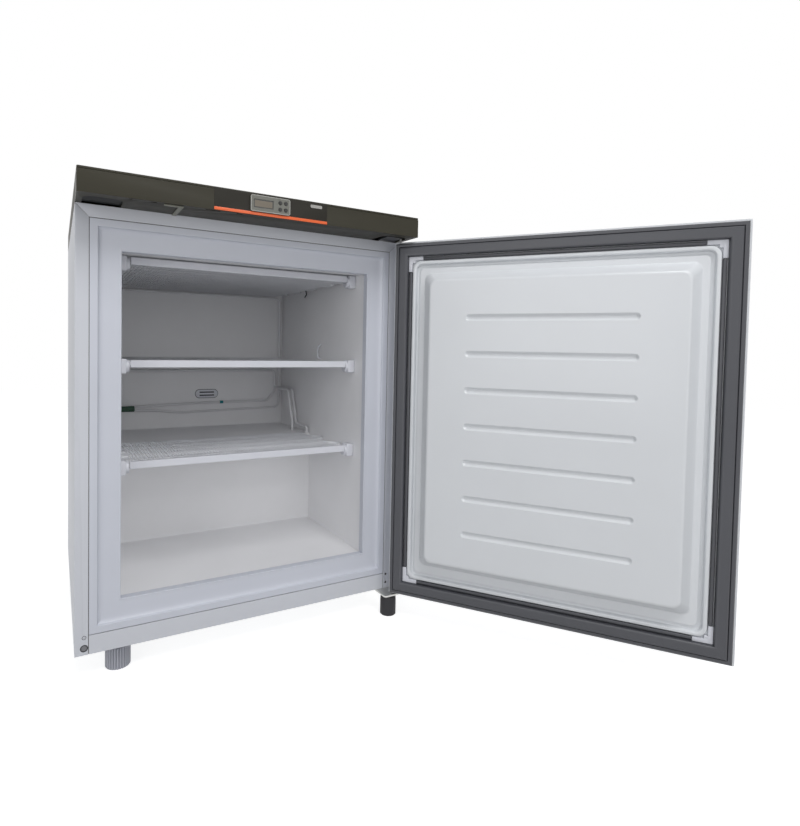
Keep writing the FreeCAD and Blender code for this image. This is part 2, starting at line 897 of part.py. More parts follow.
def orange_trim_strip():
    """Narrow orange strip along the overlay's lower edge."""
    z0 = lid_underside + trim_strip_rise
    y0 = fascia_front - trim_strip_wall
    return box(-overlay_width / 2.0, overlay_width / 2.0, y0, fascia_front, z0, z0 + trim_strip_height)


def button_place(index):
    """Centre of a button, counted along the rows."""
    x = bezel_left + button_columns[index % 2]
    z = bezel_bottom + button_rows[index // 2]
    return x, z


def controller_bezel():
    """Light grey frame with a window and four button holes."""
    y1 = fascia_front - overlay_wall
    x1 = bezel_left + bezel_width
    z1 = bezel_bottom + bezel_height
    body = rounded_plate(bezel_left, x1, bezel_bottom, z1, bezel_front, y1 - bezel_front, bezel_corner)
    window_x = bezel_left + display_left
    window_z = bezel_bottom + (bezel_height - display_height) / 2.0
    window = box(window_x, window_x + display_width, bezel_front - 1.0, y1 + 1.0,
                 window_z, window_z + display_height)
    body = body.cut(window)
    for index in range(4):
        x, z = button_place(index)
        hole_radius = button_radius + button_clearance
        body = body.cut(faceted_rod(hole_radius, bezel_wall + 2.0, x, bezel_front - 1.0, z, (0, 1, 0),
                                    round_sides))
        depth = button_collar + button_clearance
        body = body.cut(faceted_rod(button_collar_radius + button_clearance, depth + 1.0, x, y1 - depth, z,
                                    (0, 1, 0)))
    return body


def display_window():
    """Clear window seated in the bezel."""
    x0 = bezel_left + display_left + display_clearance
    z0 = bezel_bottom + (bezel_height - display_height) / 2.0 + display_clearance
    y0 = bezel_front + display_recess
    y1 = fascia_front - overlay_wall - seat_gap
    return box(x0, x0 + display_width - 2 * display_clearance, y0, y1,
               z0, z0 + display_height - 2 * display_clearance)


def controller_body():
    """Controller case behind the bezel, with a well for each button's stem."""
    x0, x1, z0, z1 = bezel_opening(0.0)
    y0 = fascia_front - overlay_wall
    body = box(x0, x1, y0, y0 + controller_depth, z0, z1)
    well_depth = button_stem_length + button_travel + button_clearance
    head_room = button_travel + button_clearance
    for index in range(4):
        x, z = button_place(index)
        well = faceted_rod(button_stem_radius + button_clearance, well_depth, x, y0, z, (0, 1, 0))
        mouth = faceted_rod(button_collar_radius + button_clearance, head_room, x, y0, z, (0, 1, 0))
        body = body.cut(well.fuse(mouth))
    return body


def button(index):
    """Round push button with a collar behind the bezel and a stem into the controller."""
    x, z = button_place(index)
    y0 = bezel_front - button_proud
    length = fascia_front - overlay_wall - y0
    head = faceted_rod(button_radius, length, x, y0, z, (0, 1, 0), round_sides)
    collar = faceted_rod(button_collar_radius, button_collar, x, y0 + length - button_collar, z, (0, 1, 0))
    stem = faceted_rod(button_stem_radius, button_stem_length, x, y0 + length, z, (0, 1, 0))
    return head.multiFuse([collar, stem]).removeSplitter()


def blank_badge():
    """Small pale plate with nothing on it."""
    x0 = badge_left
    z0 = lid_underside + badge_bottom_gap
    y1 = fascia_front - overlay_wall
    return rounded_plate(x0, x0 + badge_width, z0, z0 + badge_height, y1 - badge_wall, badge_wall,
                         badge_height * badge_corner_share)


# Door

def door_block(inset, y0, y1, z_low, z_high):
    """A block as wide as the door less an inset on both sides."""
    return box(-door_half + inset, door_half - inset, y0, y1, z_low, z_high)


def grip_space(grow):
    """The finger space in the free edge of the door, grown by a wall."""
    z1 = door_top - grip_from_top + grow
    z0 = door_top - grip_from_top - grip_height - grow
    return box(-door_half - 1.0, -door_half + grip_depth + grow, door_liner_face - grip_reach - grow,
               door_liner_face + door_liner_wall + 1.0, z0, z1)


def door_skin():
    """Outer steel skin: front, two sides and narrow returns behind."""
    z0 = door_bottom + door_cap_height
    z1 = door_top - door_cap_height
    y1 = door_liner_face - door_liner_wall
    face_corners = (
        (-door_half, y1, z0),
        (-door_half, door_front, z0),
        (door_half, door_front, z0),
        (door_half, y1, z0),
    )
    radii = (0.0, door_corner_radius, door_corner_radius, 0.0)
    outer = Part.Face(rounded_outline(face_corners, radii)).extrude(FreeCAD.Vector(0, 0, z1 - z0))
    inner = door_half - door_skin_wall
    inner_corners = (
        (-inner, y1 - door_skin_wall, z0),
        (-inner, door_front + door_skin_wall, z0),
        (inner, door_front + door_skin_wall, z0),
        (inner, y1 - door_skin_wall, z0),
    )
    bend = door_corner_radius - door_skin_wall
    hollow = Part.Face(rounded_outline(inner_corners, (0.0, bend, bend, 0.0)))
    skin = outer.cut(hollow.extrude(FreeCAD.Vector(0, 0, z1 - z0)))
    mouth = door_half - door_skin_return
    skin = skin.cut(box(-mouth, mouth, y1 - 2 * door_skin_wall, y1 + 1.0, z0 - 1.0, z1 + 1.0))
    return skin.cut(grip_space(grip_wall)).removeSplitter()


def door_foam():
    """Foam core, raised behind the liner's field."""
    inner = door_half - door_skin_wall
    y0 = door_front + door_skin_wall
    y1 = door_liner_face - door_liner_wall
    z0 = door_bottom + door_cap_height
    z1 = door_top - door_cap_height
    bend = door_corner_radius - door_skin_wall
    corners = ((-inner, y1, z0), (-inner, y0, z0), (inner, y0, z0), (inner, y1, z0))
    core = Part.Face(rounded_outline(corners, (0.0, bend, bend, 0.0))).extrude(FreeCAD.Vector(0, 0, z1 - z0))
    returns = door_half - door_skin_return
    for side in (-1, 1):
        strip = box(min(side * returns, side * door_half), max(side * returns, side * door_half),
                    y1 - door_skin_wall, y1 + 1.0, z0 - 1.0, z1 + 1.0)
        core = core.cut(strip)
    core = core.fuse(field_body(door_liner_wall, y1))
    core = core.cut(grip_space(grip_wall))
    for start in (door_bottom, door_top - bush_length + bush_flange):
        core = core.cut(faceted_rod(bush_radius, bush_length - bush_flange, pin_x, pin_y, start))
    return core.removeSplitter()


def field_ring(inset, y, radius, low_extra=0.0):
    """Points round a rectangle set in from the door's edges, with stepped round corners."""
    x = door_half - inset
    z0 = door_bottom + inset + low_extra
    z1 = door_top - inset
    centres = (
        (x - radius, z1 - radius, 0.0), (radius - x, z1 - radius, 90.0),
        (radius - x, z0 + radius, 180.0), (x - radius, z0 + radius, 270.0),
    )
    points = []
    for cx, cz, start in centres:
        for step in range(corner_steps + 1):
            angle = math.radians(start + 90.0 * step / corner_steps)
            points.append(FreeCAD.Vector(cx + radius * math.cos(angle), y, cz + radius * math.sin(angle)))
    return points


def field_body(shrink, y0):
    """Tapered block of the raised field with a broken edge, from a base plane to its face."""
    slope = (field_top_inset - field_foot_inset) / field_height
    y1 = door_liner_face + field_height - shrink
    foot_inset = field_foot_inset + shrink + slope * (y0 - door_liner_face)
    top_inset = field_top_inset + shrink - slope * shrink
    shoulder_inset = top_inset - slope * field_edge
    return skinned([
        field_ring(foot_inset, y0, field_corner, field_low_extra),
        field_ring(shoulder_inset, y1 - field_edge, field_corner, field_low_extra),
        field_ring(top_inset + field_edge * field_edge_share, y1, field_corner, field_low_extra),
    ])


def rib_cutter(z):
    """One pressed groove with sloping sides and blunt rounded ends."""
    face = door_liner_face + field_height
    rings = []
    floor_narrowing = rib_width * rib_narrowing_share
    for y, narrowing in ((face + 1.0, 0.0), (face, 0.0), (face - rib_depth, floor_narrowing)):
        half = rib_length / 2.0 - narrowing
        rise = rib_width / 2.0 - narrowing
        points = []
        for side_x, side_z in ((1, 1), (-1, 1), (-1, -1), (1, -1)):
            outer = FreeCAD.Vector(side_x * half, y, z + side_z * rise * rib_corner_share)
            inner = FreeCAD.Vector(side_x * (half - rise * rib_end_share), y, z + side_z * rise)
            points.extend([outer, inner] if side_x * side_z > 0 else [inner, outer])
        rings.append(points)
    return skinned(rings)


def loop_frame(centre_inset, width, y0, y1, corner, taper=0.0):
    """A frame that follows the door's edge at an inset, narrowed at its far face by a taper."""
    near = centre_inset - width / 2.0
    far = centre_inset + width / 2.0
    outer = skinned([
        field_ring(near, y0, corner + width / 2.0),
        field_ring(near + taper, y1, corner + width / 2.0 - taper),
    ])
    inner = skinned([
        field_ring(far, y0, corner - width / 2.0),
        field_ring(far - taper, y1, corner - width / 2.0 + taper),
    ])
    return outer.cut(inner)


def liner_ridge():
    """Raised bead round the liner, narrower on top."""
    top = door_liner_face + liner_ridge_height
    return loop_frame(liner_ridge_centre, liner_ridge_width, door_liner_face, top, liner_ridge_corner,
                      liner_ridge_width * liner_ridge_taper_share)


def door_liner():
    """Pressed inner sheet: base, bead, channel, raised field and seven grooves."""
    y0 = door_liner_face - door_liner_wall
    base = door_block(seat_gap, y0, door_liner_face, door_bottom + seat_gap, door_top - seat_gap)
    body = base.multiFuse([field_body(0.0, door_liner_face), liner_ridge()])
    channel_centre = liner_ridge_centre + (liner_ridge_width + liner_channel_width) / 2.0
    channel_corner = liner_ridge_corner - (liner_ridge_width + liner_channel_width) / 2.0
    body = body.cut(loop_frame(channel_centre, liner_channel_width, door_liner_face - liner_channel_depth,
                               door_liner_face + 1.0, channel_corner))
    body = body.cut(field_body(door_liner_wall, y0 - 1.0))
    for i in range(rib_count):
        z = door_mid_z + rib_pitch * (i - (rib_count - 1) / 2.0)
        body = body.cut(rib_cutter(z))
    return body.cut(grip_space(grip_wall)).removeSplitter()


def gasket_section():
    """Cross-section of the seal: distance in from its outer edge, height off the liner."""
    top = gasket_height
    width = gasket_width
    return (
        (0.0, 0.0),
        (0.0, top * gasket_side_share),
        (width * gasket_lobe_start, top * gasket_outer_lobe_share),
        (width * gasket_outer_lobe_end, top * gasket_outer_lobe_share),
        (width * gasket_groove_place, top * gasket_groove_share),
        (width * gasket_inner_lobe_start, top),
        (width * gasket_inner_lobe_end, top),
        (width, top * gasket_side_share),
        (width, 0.0),
    )


def gasket_strip(start, along, inward, length):
    """One side of the seal, mitred into its neighbours."""
    origin = FreeCAD.Vector(*start)
    into = FreeCAD.Vector(*inward)
    run = FreeCAD.Vector(*along)
    depth = FreeCAD.Vector(0, 1, 0)
    points = [tuple(origin + into * u + depth * v) for u, v in gasket_section()]
    bar = prism(points, tuple(run * length))
    corner = origin - depth
    trapezoid = (
        corner,
        corner + run * length,
        corner + run * (length - gasket_width) + into * gasket_width,
        corner + run * gasket_width + into * gasket_width,
    )
    return bar.common(prism([tuple(p) for p in trapezoid], (0, gasket_height + 2.0, 0)))


def gasket_sides():
    """The four sides of the seal, mitred where the real one is welded."""
    x = door_half - gasket_outer_inset
    z0 = door_bottom + gasket_outer_inset
    z1 = door_top - gasket_outer_inset
    y = door_liner_face
    sides = (
        ((-x, y, z0), (0, 0, 1), (1, 0, 0), z1 - z0),
        ((x, y, z0), (0, 0, 1), (-1, 0, 0), z1 - z0),
        ((-x, y, z0), (1, 0, 0), (0, 0, 1), 2 * x),
        ((-x, y, z1), (1, 0, 0), (0, 0, -1), 2 * x),
    )
    return [gasket_strip(*side) for side in sides]


def lip_limits():
    """Inner and outer inset of the seal's second lip, and where it stops."""
    outer = gasket_outer_inset + gasket_width + gasket_lip_gap
    inner = outer + gasket_lip_width
    stop = gasket_outer_inset + gasket_width + corner_block_arm + seat_gap
    return outer, inner, stop


def gasket_lips():
    """Four short second lips inside the ring, stopping at the corner blocks."""
    outer, inner, stop = lip_limits()
    y0 = door_liner_face
    y1 = y0 + gasket_lip_height
    z0 = door_bottom
    z1 = door_top
    x = door_half
    return [
        box(-x + outer, -x + inner, y0, y1, z0 + stop, z1 - stop),
        box(x - inner, x - outer, y0, y1, z0 + stop, z1 - stop),
        box(-x + stop, x - stop, y0, y1, z0 + outer, z0 + inner),
        box(-x + stop, x - stop, y0, y1, z1 - inner, z1 - outer),
    ]


def corner_block(side, low):
    """White angle piece that fills a corner between seal and bead."""
    outer = gasket_outer_inset + gasket_width + seat_gap
    inner = lip_limits()[1]
    reach = outer + corner_block_arm - seat_gap * 2
    y0 = door_liner_face
    y1 = y0 + corner_block_height
    if low:
        z_out, z_in, z_far = door_bottom + outer, door_bottom + inner, door_bottom + reach
    else:
        z_out, z_in, z_far = door_top - outer, door_top - inner, door_top - reach
    x_out = side * (door_half - outer)
    x_in = side * (door_half - inner)
    x_far = side * (door_half - reach)
    points = (
        (x_out, y0, z_out), (x_far, y0, z_out), (x_far, y0, z_in),
        (x_in, y0, z_in), (x_in, y0, z_far), (x_out, y0, z_far),
    )
    return prism(points, (0, y1 - y0, 0))


def door_end_cap(z0):
    """Plastic strip that closes one end of the skin, bored for the hinge bush."""
    y1 = door_liner_face - door_liner_wall
    corners = (
        (-door_half, y1, z0), (-door_half, door_front, z0),
        (door_half, door_front, z0), (door_half, y1, z0),
    )
    radii = (0.0, door_corner_radius, door_corner_radius, 0.0)
    cap = Part.Face(rounded_outline(corners, radii)).extrude(FreeCAD.Vector(0, 0, door_cap_height))
    return cap.cut(faceted_rod(bush_radius, door_cap_height + 2.0, pin_x, pin_y, z0 - 1.0))


def grip_cup():
    """Thin cup that lines the finger space."""
    cup = grip_space(grip_wall).cut(grip_space(0.0))
    keep = box(-door_half, -door_half + grip_depth + grip_wall + 1.0, door_front, door_liner_face,
               door_bottom, door_top)
    return cup.common(keep)


# Hinges and fasteners


def lower_screw_places():
    """Where the lower bracket's two screws go up into the cabinet."""
    x = half_width - lower_plate_width / 2.0
    return [(x, front + lower_plate_back * share) for share in lower_screw_shares]


def upper_screw_places():
    """Where the upper bracket's two screws go down into the cabinet's top."""
    x = half_width - lid_wall - upper_plate_width / 2.0
    return [(x, front + upper_plate_back * share) for share in upper_screw_shares]


def lower_hinge_bracket():
    """Steel plate under the cabinet that carries the lower pin and the front right foot."""
    x1 = half_width - door_side_inset
    z0 = cabinet_bottom - plate
    body = level_plate(x1 - lower_plate_width, x1, front - lower_plate_forward, front + lower_plate_back,
                       z0, plate, plate_corner)
    body = body.cut(rod(pin_radius, plate + 2.0, pin_x, pin_y, z0 - 1.0))
    body = body.cut(faceted_rod(foot_bolt_head_radius, foot_bolt_head + 1.0, hinge_foot_x, hinge_foot_y,
                                cabinet_bottom - foot_bolt_head))
    body = body.cut(rod(foot_bolt_radius, plate + 2.0, hinge_foot_x, hinge_foot_y, z0 - 1.0))
    for x, y in lower_screw_places():
        body = body.cut(faceted_rod(screw_radius, plate + 2.0, x, y, z0 - 1.0))
    return body


def upper_hinge_bracket():
    """Steel plate on the cabinet's top, stepped up over the fascia floor to carry the upper pin."""
    x1 = half_width - lid_wall - seat_gap
    x0 = x1 - upper_plate_width
    z0 = lid_underside
    tail = front + upper_plate_back
    lap = front + upper_plate_lap
    nose = front - upper_plate_forward
    profile = (
        (x0, tail, z0), (x0, tail, z0 + plate), (x0, lap, z0 + plate), (x0, lap, z0 + 2 * plate),
        (x0, nose, z0 + 2 * plate), (x0, nose, z0 + plate), (x0, front + 1.0, z0 + plate),
        (x0, front + 1.0, z0),
    )
    body = prism(profile, (upper_plate_width, 0, 0))
    body = body.cut(rod(pin_radius, 3 * plate, pin_x, pin_y, z0))
    for x, y in upper_screw_places():
        body = body.cut(faceted_rod(screw_radius, plate * 3, x, y, z0 - 1.0))
    return body


def hinge_pin(plate_outer, tip):
    """Headed pin riveted in a plate."""
    direction = 1.0 if tip > plate_outer else -1.0
    shank = rod(pin_radius, abs(tip - plate_outer), pin_x, pin_y, plate_outer, (0, 0, direction))
    head = faceted_rod(pin_head_radius, pin_head, pin_x, pin_y, plate_outer, (0, 0, -direction))
    return shank.fuse(head)


def door_bush(z0, direction):
    """Flanged bush pressed into the door's end, closed at its inner end."""
    flange = faceted_rod(bush_flange_radius, bush_flange, pin_x, pin_y, z0, (0, 0, direction))
    barrel = faceted_rod(bush_radius, bush_length, pin_x, pin_y, z0, (0, 0, direction))
    bore = rod(pin_radius + pin_running_gap, bush_length - bush_end_wall + 1.0, pin_x, pin_y, z0 - direction,
               (0, 0, direction))
    return flange.fuse(barrel).cut(bore)


def screw(x, y, seat, direction):
    """Pan-head screw whose head sits on a plate."""
    head = faceted_rod(screw_head_radius, screw_head, x, y, seat, (0, 0, -direction))
    shank = faceted_rod(screw_radius, screw_length, x, y, seat, (0, 0, direction))
    return head.fuse(shank)


def hinge_screws():
    """Bracket screws and the countersunk bolt that the front right foot turns on."""
    parts = []
    for x, y in lower_screw_places():
        parts.append(screw(x, y, cabinet_bottom - plate, 1))
    for x, y in upper_screw_places():
        parts.append(screw(x, y, lid_underside + plate, -1))
    shank = rod(foot_bolt_radius, foot_bolt_length, hinge_foot_x, hinge_foot_y, cabinet_bottom, (0, 0, -1))
    head = faceted_rod(foot_bolt_head_radius, foot_bolt_head, hinge_foot_x, hinge_foot_y,
                       cabinet_bottom - foot_bolt_head)
    parts.append(shank.fuse(head))
    return group(parts)


def flange_plugs():
    """Blanking plug and hex bolt in the holes kept for a door hung on the left."""
    x = plug_inset - half_width
    plug = faceted_rod(plug_radius, plug_proud, x, front - plug_proud, plug_height, (0, 1, 0))
    plug = plug.fuse(faceted_rod(screw_radius, plug_depth, x, front, plug_height, (0, 1, 0)))
    corners = []
    across_corners = hex_across_flats / math.sqrt(3.0)
    for i in range(hex_sides):
        angle = 2.0 * math.pi * i / hex_sides
        corners.append((x + across_corners * math.cos(angle), front - hex_proud,
                        hex_height + across_corners * math.sin(angle)))
    bolt = prism(corners, (0, hex_proud, 0))
    bolt = bolt.fuse(faceted_rod(screw_radius, plug_depth, x, front, hex_height, (0, 1, 0)))
    return group([plug, bolt])


# Feet

def front_left_foot():
    """Ribbed levelling foot with its threaded stud."""
    teeth = []
    steps = foot_rib_count * 2
    for i in range(steps):
        radius = foot_radius if i % 2 == 0 else foot_radius - foot_rib_depth
        for offset in (-foot_rib_share, foot_rib_share):
            angle = 2.0 * math.pi * (i + offset) / steps
            teeth.append((foot_x + radius * math.cos(angle), foot_y + radius * math.sin(angle), foot_pad))
    body = prism(teeth, (0, 0, foot_height - foot_pad))
    pad_radius = foot_radius - foot_rib_depth
    pad = turned((
        (pad_radius - foot_rib_depth, 0.0), (pad_radius, foot_rib_depth), (pad_radius, foot_pad),
    ), foot_x, foot_y)
    collar = faceted_rod(foot_collar_radius, foot_collar, foot_x, foot_y, foot_height)
    stud_top = cabinet_bottom + sheet + stud_length - stud_end_gap
    stud = rod(stud_radius, stud_top - foot_height, foot_x, foot_y, foot_height)
    return body.multiFuse([pad, collar, stud]).removeSplitter()


def front_right_foot():
    """Black foot that turns on the bolt under the hinge plate."""
    radius = hinge_foot_radius
    edge = hinge_foot_edge
    top = hinge_foot_height
    profile = (
        (radius - edge * 0.5, 0.0), (radius, edge * 0.5), (radius, top - edge), (radius - edge, top),
    )
    bore_bottom = cabinet_bottom - foot_bolt_length - stud_end_gap
    bore = rod(foot_bolt_radius + stud_running_gap, top, hinge_foot_x, hinge_foot_y, bore_bottom)
    return turned(profile, hinge_foot_x, hinge_foot_y).cut(bore)


def rear_feet():
    """Two plain rear feet under the compressor plate."""
    feet = []
    for side in (-1, 1):
        y = back - rear_foot_back
        profile = (
            (rear_foot_radius - rear_foot_edge, 0.0), (rear_foot_radius, rear_foot_edge),
            (rear_foot_radius * rear_foot_waist_share, cabinet_bottom),
        )
        feet.append(turned(profile, side * foot_x, y))
    return group(feet)


# Refrigerated shelves

def shelf_level(index):
    """Height of the bar's underside for a shelf counted from the lowest."""
    return lowest_bar_bottom + shelf_pitch * index


def shelf_tube_height(index):
    """Height of the tube's centre line."""
    return shelf_level(index) + bar_height / 2.0 - shelf_tube_drop


def tube_rows(index):
    """Number of tube runs of a shelf, their pitch and the half length of a run."""
    if index == 0:
        return lower_shelf_tubes, lower_tube_pitch, lower_run_half
    return upper_shelf_tubes, upper_tube_pitch, upper_run_half


def serpentine(index):
    """The bent tube of one shelf, from the wall at its first end to its last run."""
    rows, pitch, run_half = tube_rows(index)
    z = shelf_tube_height(index)
    side = -1 if index == 0 else 1
    y = front + shelf_first_tube
    points = [(side * liner_half, y, z)]
    reach = run_half + pitch / 2.0
    for row in range(rows - 1):
        side = -side
        points.append((side * reach, y, z))
        y = y + pitch
        points.append((side * reach, y, z))
    points.append((-side * run_half, y, z))
    return tube(points, shelf_tube_radius, pitch / 2.0)


def shelf_wires(index):
    """Straight wires laid across the tube from front bar to last run."""
    rows, pitch, run_half = tube_rows(index)
    y0 = front + shelf_front + bar_wall
    y1 = front + shelf_first_tube + pitch * (rows - 1) + shelf_tube_radius
    spacing = 2.0 * wire_half_span / (wire_count - 1)
    half = wire_thickness / 2.0
    z0 = shelf_tube_height(index) + shelf_tube_radius
    wires = []
    for i in range(wire_count):
        x = spacing * i - wire_half_span
        wires.append(box(x - half, x + half, y0, y1, z0, z0 + wire_thickness))
    return wires


def evaporator_shelf(index):
    """One refrigerated shelf: serpentine tube with wires across it."""
    return group([serpentine(index)] + shelf_wires(index))


def shelf_trim_bar(index):
    """Front bar of a shelf, a channel open to the rear that takes the wire ends."""
    half = liner_half - clip_block_width - clip_boss_length
    z0 = shelf_level(index)
    z1 = z0 + bar_height
    y0 = front + shelf_front
    y1 = y0 + bar_depth
    outer = box(-half, half, y0, y1, z0, z1)
    return outer.cut(box(-half - 1.0, half + 1.0, y0 + bar_wall, y1 + 1.0, z0 + bar_wall, z1 - bar_wall))


def shelf_clip(index):
    """Wall clip with a round boss that carries a bar's end, right-hand side."""
    z0 = shelf_level(index) - clip_drop
    z1 = z0 + clip_block_height
    y0 = front + shelf_front
    y1 = y0 + clip_block_depth
    x0 = liner_half - clip_block_width
    e = clip_edge
    corners = (
        (x0, y0 + e, z0), (x0, y1 - e, z0), (x0, y1, z0 + e), (x0, y1, z1 - e),
        (x0, y1 - e, z1), (x0, y0 + e, z1), (x0, y0, z1 - e), (x0, y0, z0 + e),
    )
    block = prism(corners, (clip_block_width, 0, 0))
    boss_y = (y0 + y1) / 2.0
    boss_z = (z0 + z1) / 2.0
    boss = faceted_rod(clip_boss_radius, clip_boss_length, x0 - clip_boss_length, boss_y, boss_z, (1, 0, 0))
    bore = faceted_rod(clip_boss_bore, clip_boss_length * 2.0, x0 - clip_boss_length - 1.0, boss_y, boss_z,
                       (1, 0, 0))
    return block.fuse(boss).cut(bore)


def pipe_plane():
    """Depth of the pipes that run along the upper back wall."""
    return front + liner_depth - riser_wall_gap - riser_radius


def riser_tubes():
    """Pipes on the back wall, with a pair that comes forward and down to the lowest shelf."""
    y = pipe_plane()
    last_high = front + shelf_first_tube + upper_tube_pitch * (upper_shelf_tubes - 1)
    last_low = front + shelf_first_tube + lower_tube_pitch * (lower_shelf_tubes - 1)
    top = shelf_tube_height(2)
    middle = shelf_tube_height(1)
    low = shelf_tube_height(0)
    x_outer = liner_half - riser_outer_gap
    x_inner = x_outer - riser_spacing
    sleeve_x = sleeve_left + sleeve_length / 2.0
    tight = (y - last_high) / 2.0
    lowest = hump_top + riser_low
    turn = hump_top + riser_turn
    fork = hump_top + riser_fork
    line_a = tube((
        (-upper_run_half, last_high, top),
        (-upper_run_half - tight, last_high, top),
        (-upper_run_half - tight, y, top + riser_rise),
        (x_outer, y, top + riser_rise),
        (x_outer, y, lowest),
        (riser_dip_x, y, lowest - riser_dip),
        (sleeve_x, y - riser_sleeve_step, sleeve_z - riser_pair_half),
    ), riser_radius, riser_wall_bend)
    line_b = tube((
        (-upper_run_half, last_high, middle),
        (-upper_run_half - riser_bend, last_high, middle),
        (-upper_run_half - riser_bend, y, middle - riser_drop),
        (x_inner, y, middle - riser_drop),
        (x_inner, y, turn),
        (x_inner - riser_jog, y, turn - riser_jog),
        (sleeve_x, y - riser_sleeve_step, sleeve_z + riser_pair_half),
    ), riser_radius, riser_wall_bend)
    over_ledge = hump_top + riser_ledge_gap
    lower_y = front + hump_depth + riser_over_ledge
    upper_y = front + liner_depth - riser_before_wall
    drop_a = tube((
        (lower_run_half, last_low, low),
        (x_outer, last_low, low),
        (x_outer, last_low, over_ledge),
        (x_outer, lower_y, over_ledge),
        (x_outer, upper_y, fork),
        (x_outer, y, fork),
    ), riser_radius, riser_small_bend)
    drop_b = tube((
        (x_inner, y, fork),
        (x_inner, upper_y, fork),
        (x_inner, lower_y, over_ledge + riser_small_bend),
        (x_inner, lower_y, hump_top),
    ), riser_radius, riser_small_bend)
    return group([line_a, line_b, drop_a.cut(line_a), drop_b.cut(line_b)])


def pipe_sleeve(tubes):
    """Short sleeve round the two pipes where they leave the back wall."""
    y = front + liner_depth - sleeve_radius - riser_wall_gap
    body = faceted_rod(sleeve_radius, sleeve_length, sleeve_left, y, sleeve_z, (1, 0, 0), round_sides)
    return body.cut(tubes)


def sensor_cover():
    """Oval cover on the back wall with two long slots."""
    y1 = front + liner_depth
    half = sensor_cover_length / 2.0
    z0 = sensor_cover_z - sensor_cover_height / 2.0
    body = rounded_plate(sensor_cover_x - half, sensor_cover_x + half, z0, z0 + sensor_cover_height,
                         y1 - sensor_cover_wall, sensor_cover_wall,
                         sensor_cover_height * sensor_cover_corner_share)
    for side in (-1, 1):
        z = sensor_cover_z + side * sensor_slot_gap / 2.0
        reach = sensor_slot_length / 2.0
        body = body.cut(box(sensor_cover_x - reach, sensor_cover_x + reach, y1 - sensor_cover_wall - 1.0,
                            y1 - sensor_slot_floor, z - sensor_slot_height / 2.0,
                            z + sensor_slot_height / 2.0))
    return body


# Refrigeration unit

def compressor_centre():
    """Plan position of the compressor in the rear bay."""
    return compressor_x, (bay_front + back) / 2.0


def compressor_plate():
    """Carrier plate across the open bottom of the bay, turned up at its ends."""
    half = half_width - sheet
    y0 = bay_front + carrier_front
    y1 = back - carrier_back
    z0 = cabinet_bottom
    flat = box(-half, half, y0, y1, z0, z0 + carrier_wall)
    ends = []
    for x in (-half, half - carrier_wall):
        ends.append(box(x, x + carrier_wall, y0, y1, z0, z0 + carrier_fold))
    return flat.multiFuse(ends).removeSplitter()


def grommet_places():
    """The four rubber mounts under the compressor's feet."""
    x, y = compressor_centre()
    places = []
    for dx in (-grommet_spread, grommet_spread):
        for dy in (-grommet_span, grommet_span):
            places.append((x + dx, y + dy))
    return places


def compressor():
    """Hermetic compressor: two drawn shells on a seam, standing on two cross feet."""
    x, y = compressor_centre()
    base = cabinet_bottom + carrier_wall + grommet_height
    shell_base = base + compressor_foot_wall
    seam = base + compressor_seam
    top = base + compressor_height
    r = compressor_radius
    rim = r + compressor_seam_rim
    body = turned((
        (r * compressor_base_share, shell_base), (r, shell_base + r * compressor_base_rise_share),
        (r, seam), (rim, seam), (rim, seam + compressor_seam_rim), (r, seam + compressor_seam_rim),
        (r, top - r * compressor_shoulder_share),
        (r * compressor_dome_share, top - r * compressor_dome_drop_share), (r * compressor_top_share, top),
    ), x, y)
    feet = []
    half = compressor_foot_length / 2.0
    for dy in (-grommet_span, grommet_span):
        feet.append(box(x - half, x + half, y + dy - compressor_foot_width / 2.0,
                        y + dy + compressor_foot_width / 2.0, base, shell_base))
    return body.multiFuse(feet)


def compressor_grommets():
    """Four rubber mounts between carrier plate and compressor feet."""
    mounts = []
    for x, y in grommet_places():
        mounts.append(faceted_rod(grommet_radius, grommet_height, x, y, cabinet_bottom + carrier_wall))
    return group(mounts)


def terminal_cover(can):
    """Plastic box over the compressor's terminals."""
    x, y = compressor_centre()
    base = cabinet_bottom + carrier_wall + grommet_height
    x0 = x + compressor_radius * terminal_start_share
    z0 = base + compressor_seam * terminal_rise_share
    half = terminal_width / 2.0
    body = box(x0, x + compressor_radius + terminal_depth, y - half, y + half, z0, z0 + terminal_height)
    return body.cut(can)


def condenser_plane():
    """Depth of the condenser tube's centre line."""
    return back + condenser_gap + condenser_tube_radius


def condenser():
    """Wire-on-tube condenser with its brackets on the back panel."""
    y = condenser_plane()
    bend = condenser_pitch / 2.0
    tail = condenser_bottom - condenser_tail
    start_x = condenser_half_width - condenser_start_inset
    points = [(-start_x, y, tail)]
    z = condenser_bottom
    points.append((-start_x, y, z))
    side = 1
    for row in range(condenser_rows - 1):
        points.append((side * condenser_half_width, y, z))
        z = z + condenser_pitch
        points.append((side * condenser_half_width, y, z))
        side = -side
    down_x = condenser_half_width + condenser_start_inset
    points.append((down_x, y, z))
    points.append((down_x, y, tail))
    body = tube(points, condenser_tube_radius, condenser_bend)
    brackets = []
    bracket_x = condenser_half_width * bracket_place_share
    for x in (-bracket_x, bracket_x):
        for row in (1, condenser_rows - 2):
            height = condenser_bottom + condenser_pitch * row
            brackets.append(box(x - bracket_width / 2.0, x + bracket_width / 2.0, back, y,
                                height - bracket_height / 2.0, height + bracket_height / 2.0))
    body = body.multiFuse(brackets)
    wires = []
    spacing = 2.0 * (condenser_half_width - bend) / (condenser_wire_count - 1)
    wire_y = y + condenser_tube_radius
    low = condenser_bottom - condenser_wire_overhang
    high = condenser_bottom + condenser_pitch * (condenser_rows - 1) + condenser_wire_overhang
    for i in range(condenser_wire_count):
        x = -condenser_half_width + bend + spacing * i
        wires.append(box(x - condenser_wire / 2.0, x + condenser_wire / 2.0, wire_y, wire_y + condenser_wire,
                         low, high))
    return group([body] + wires)


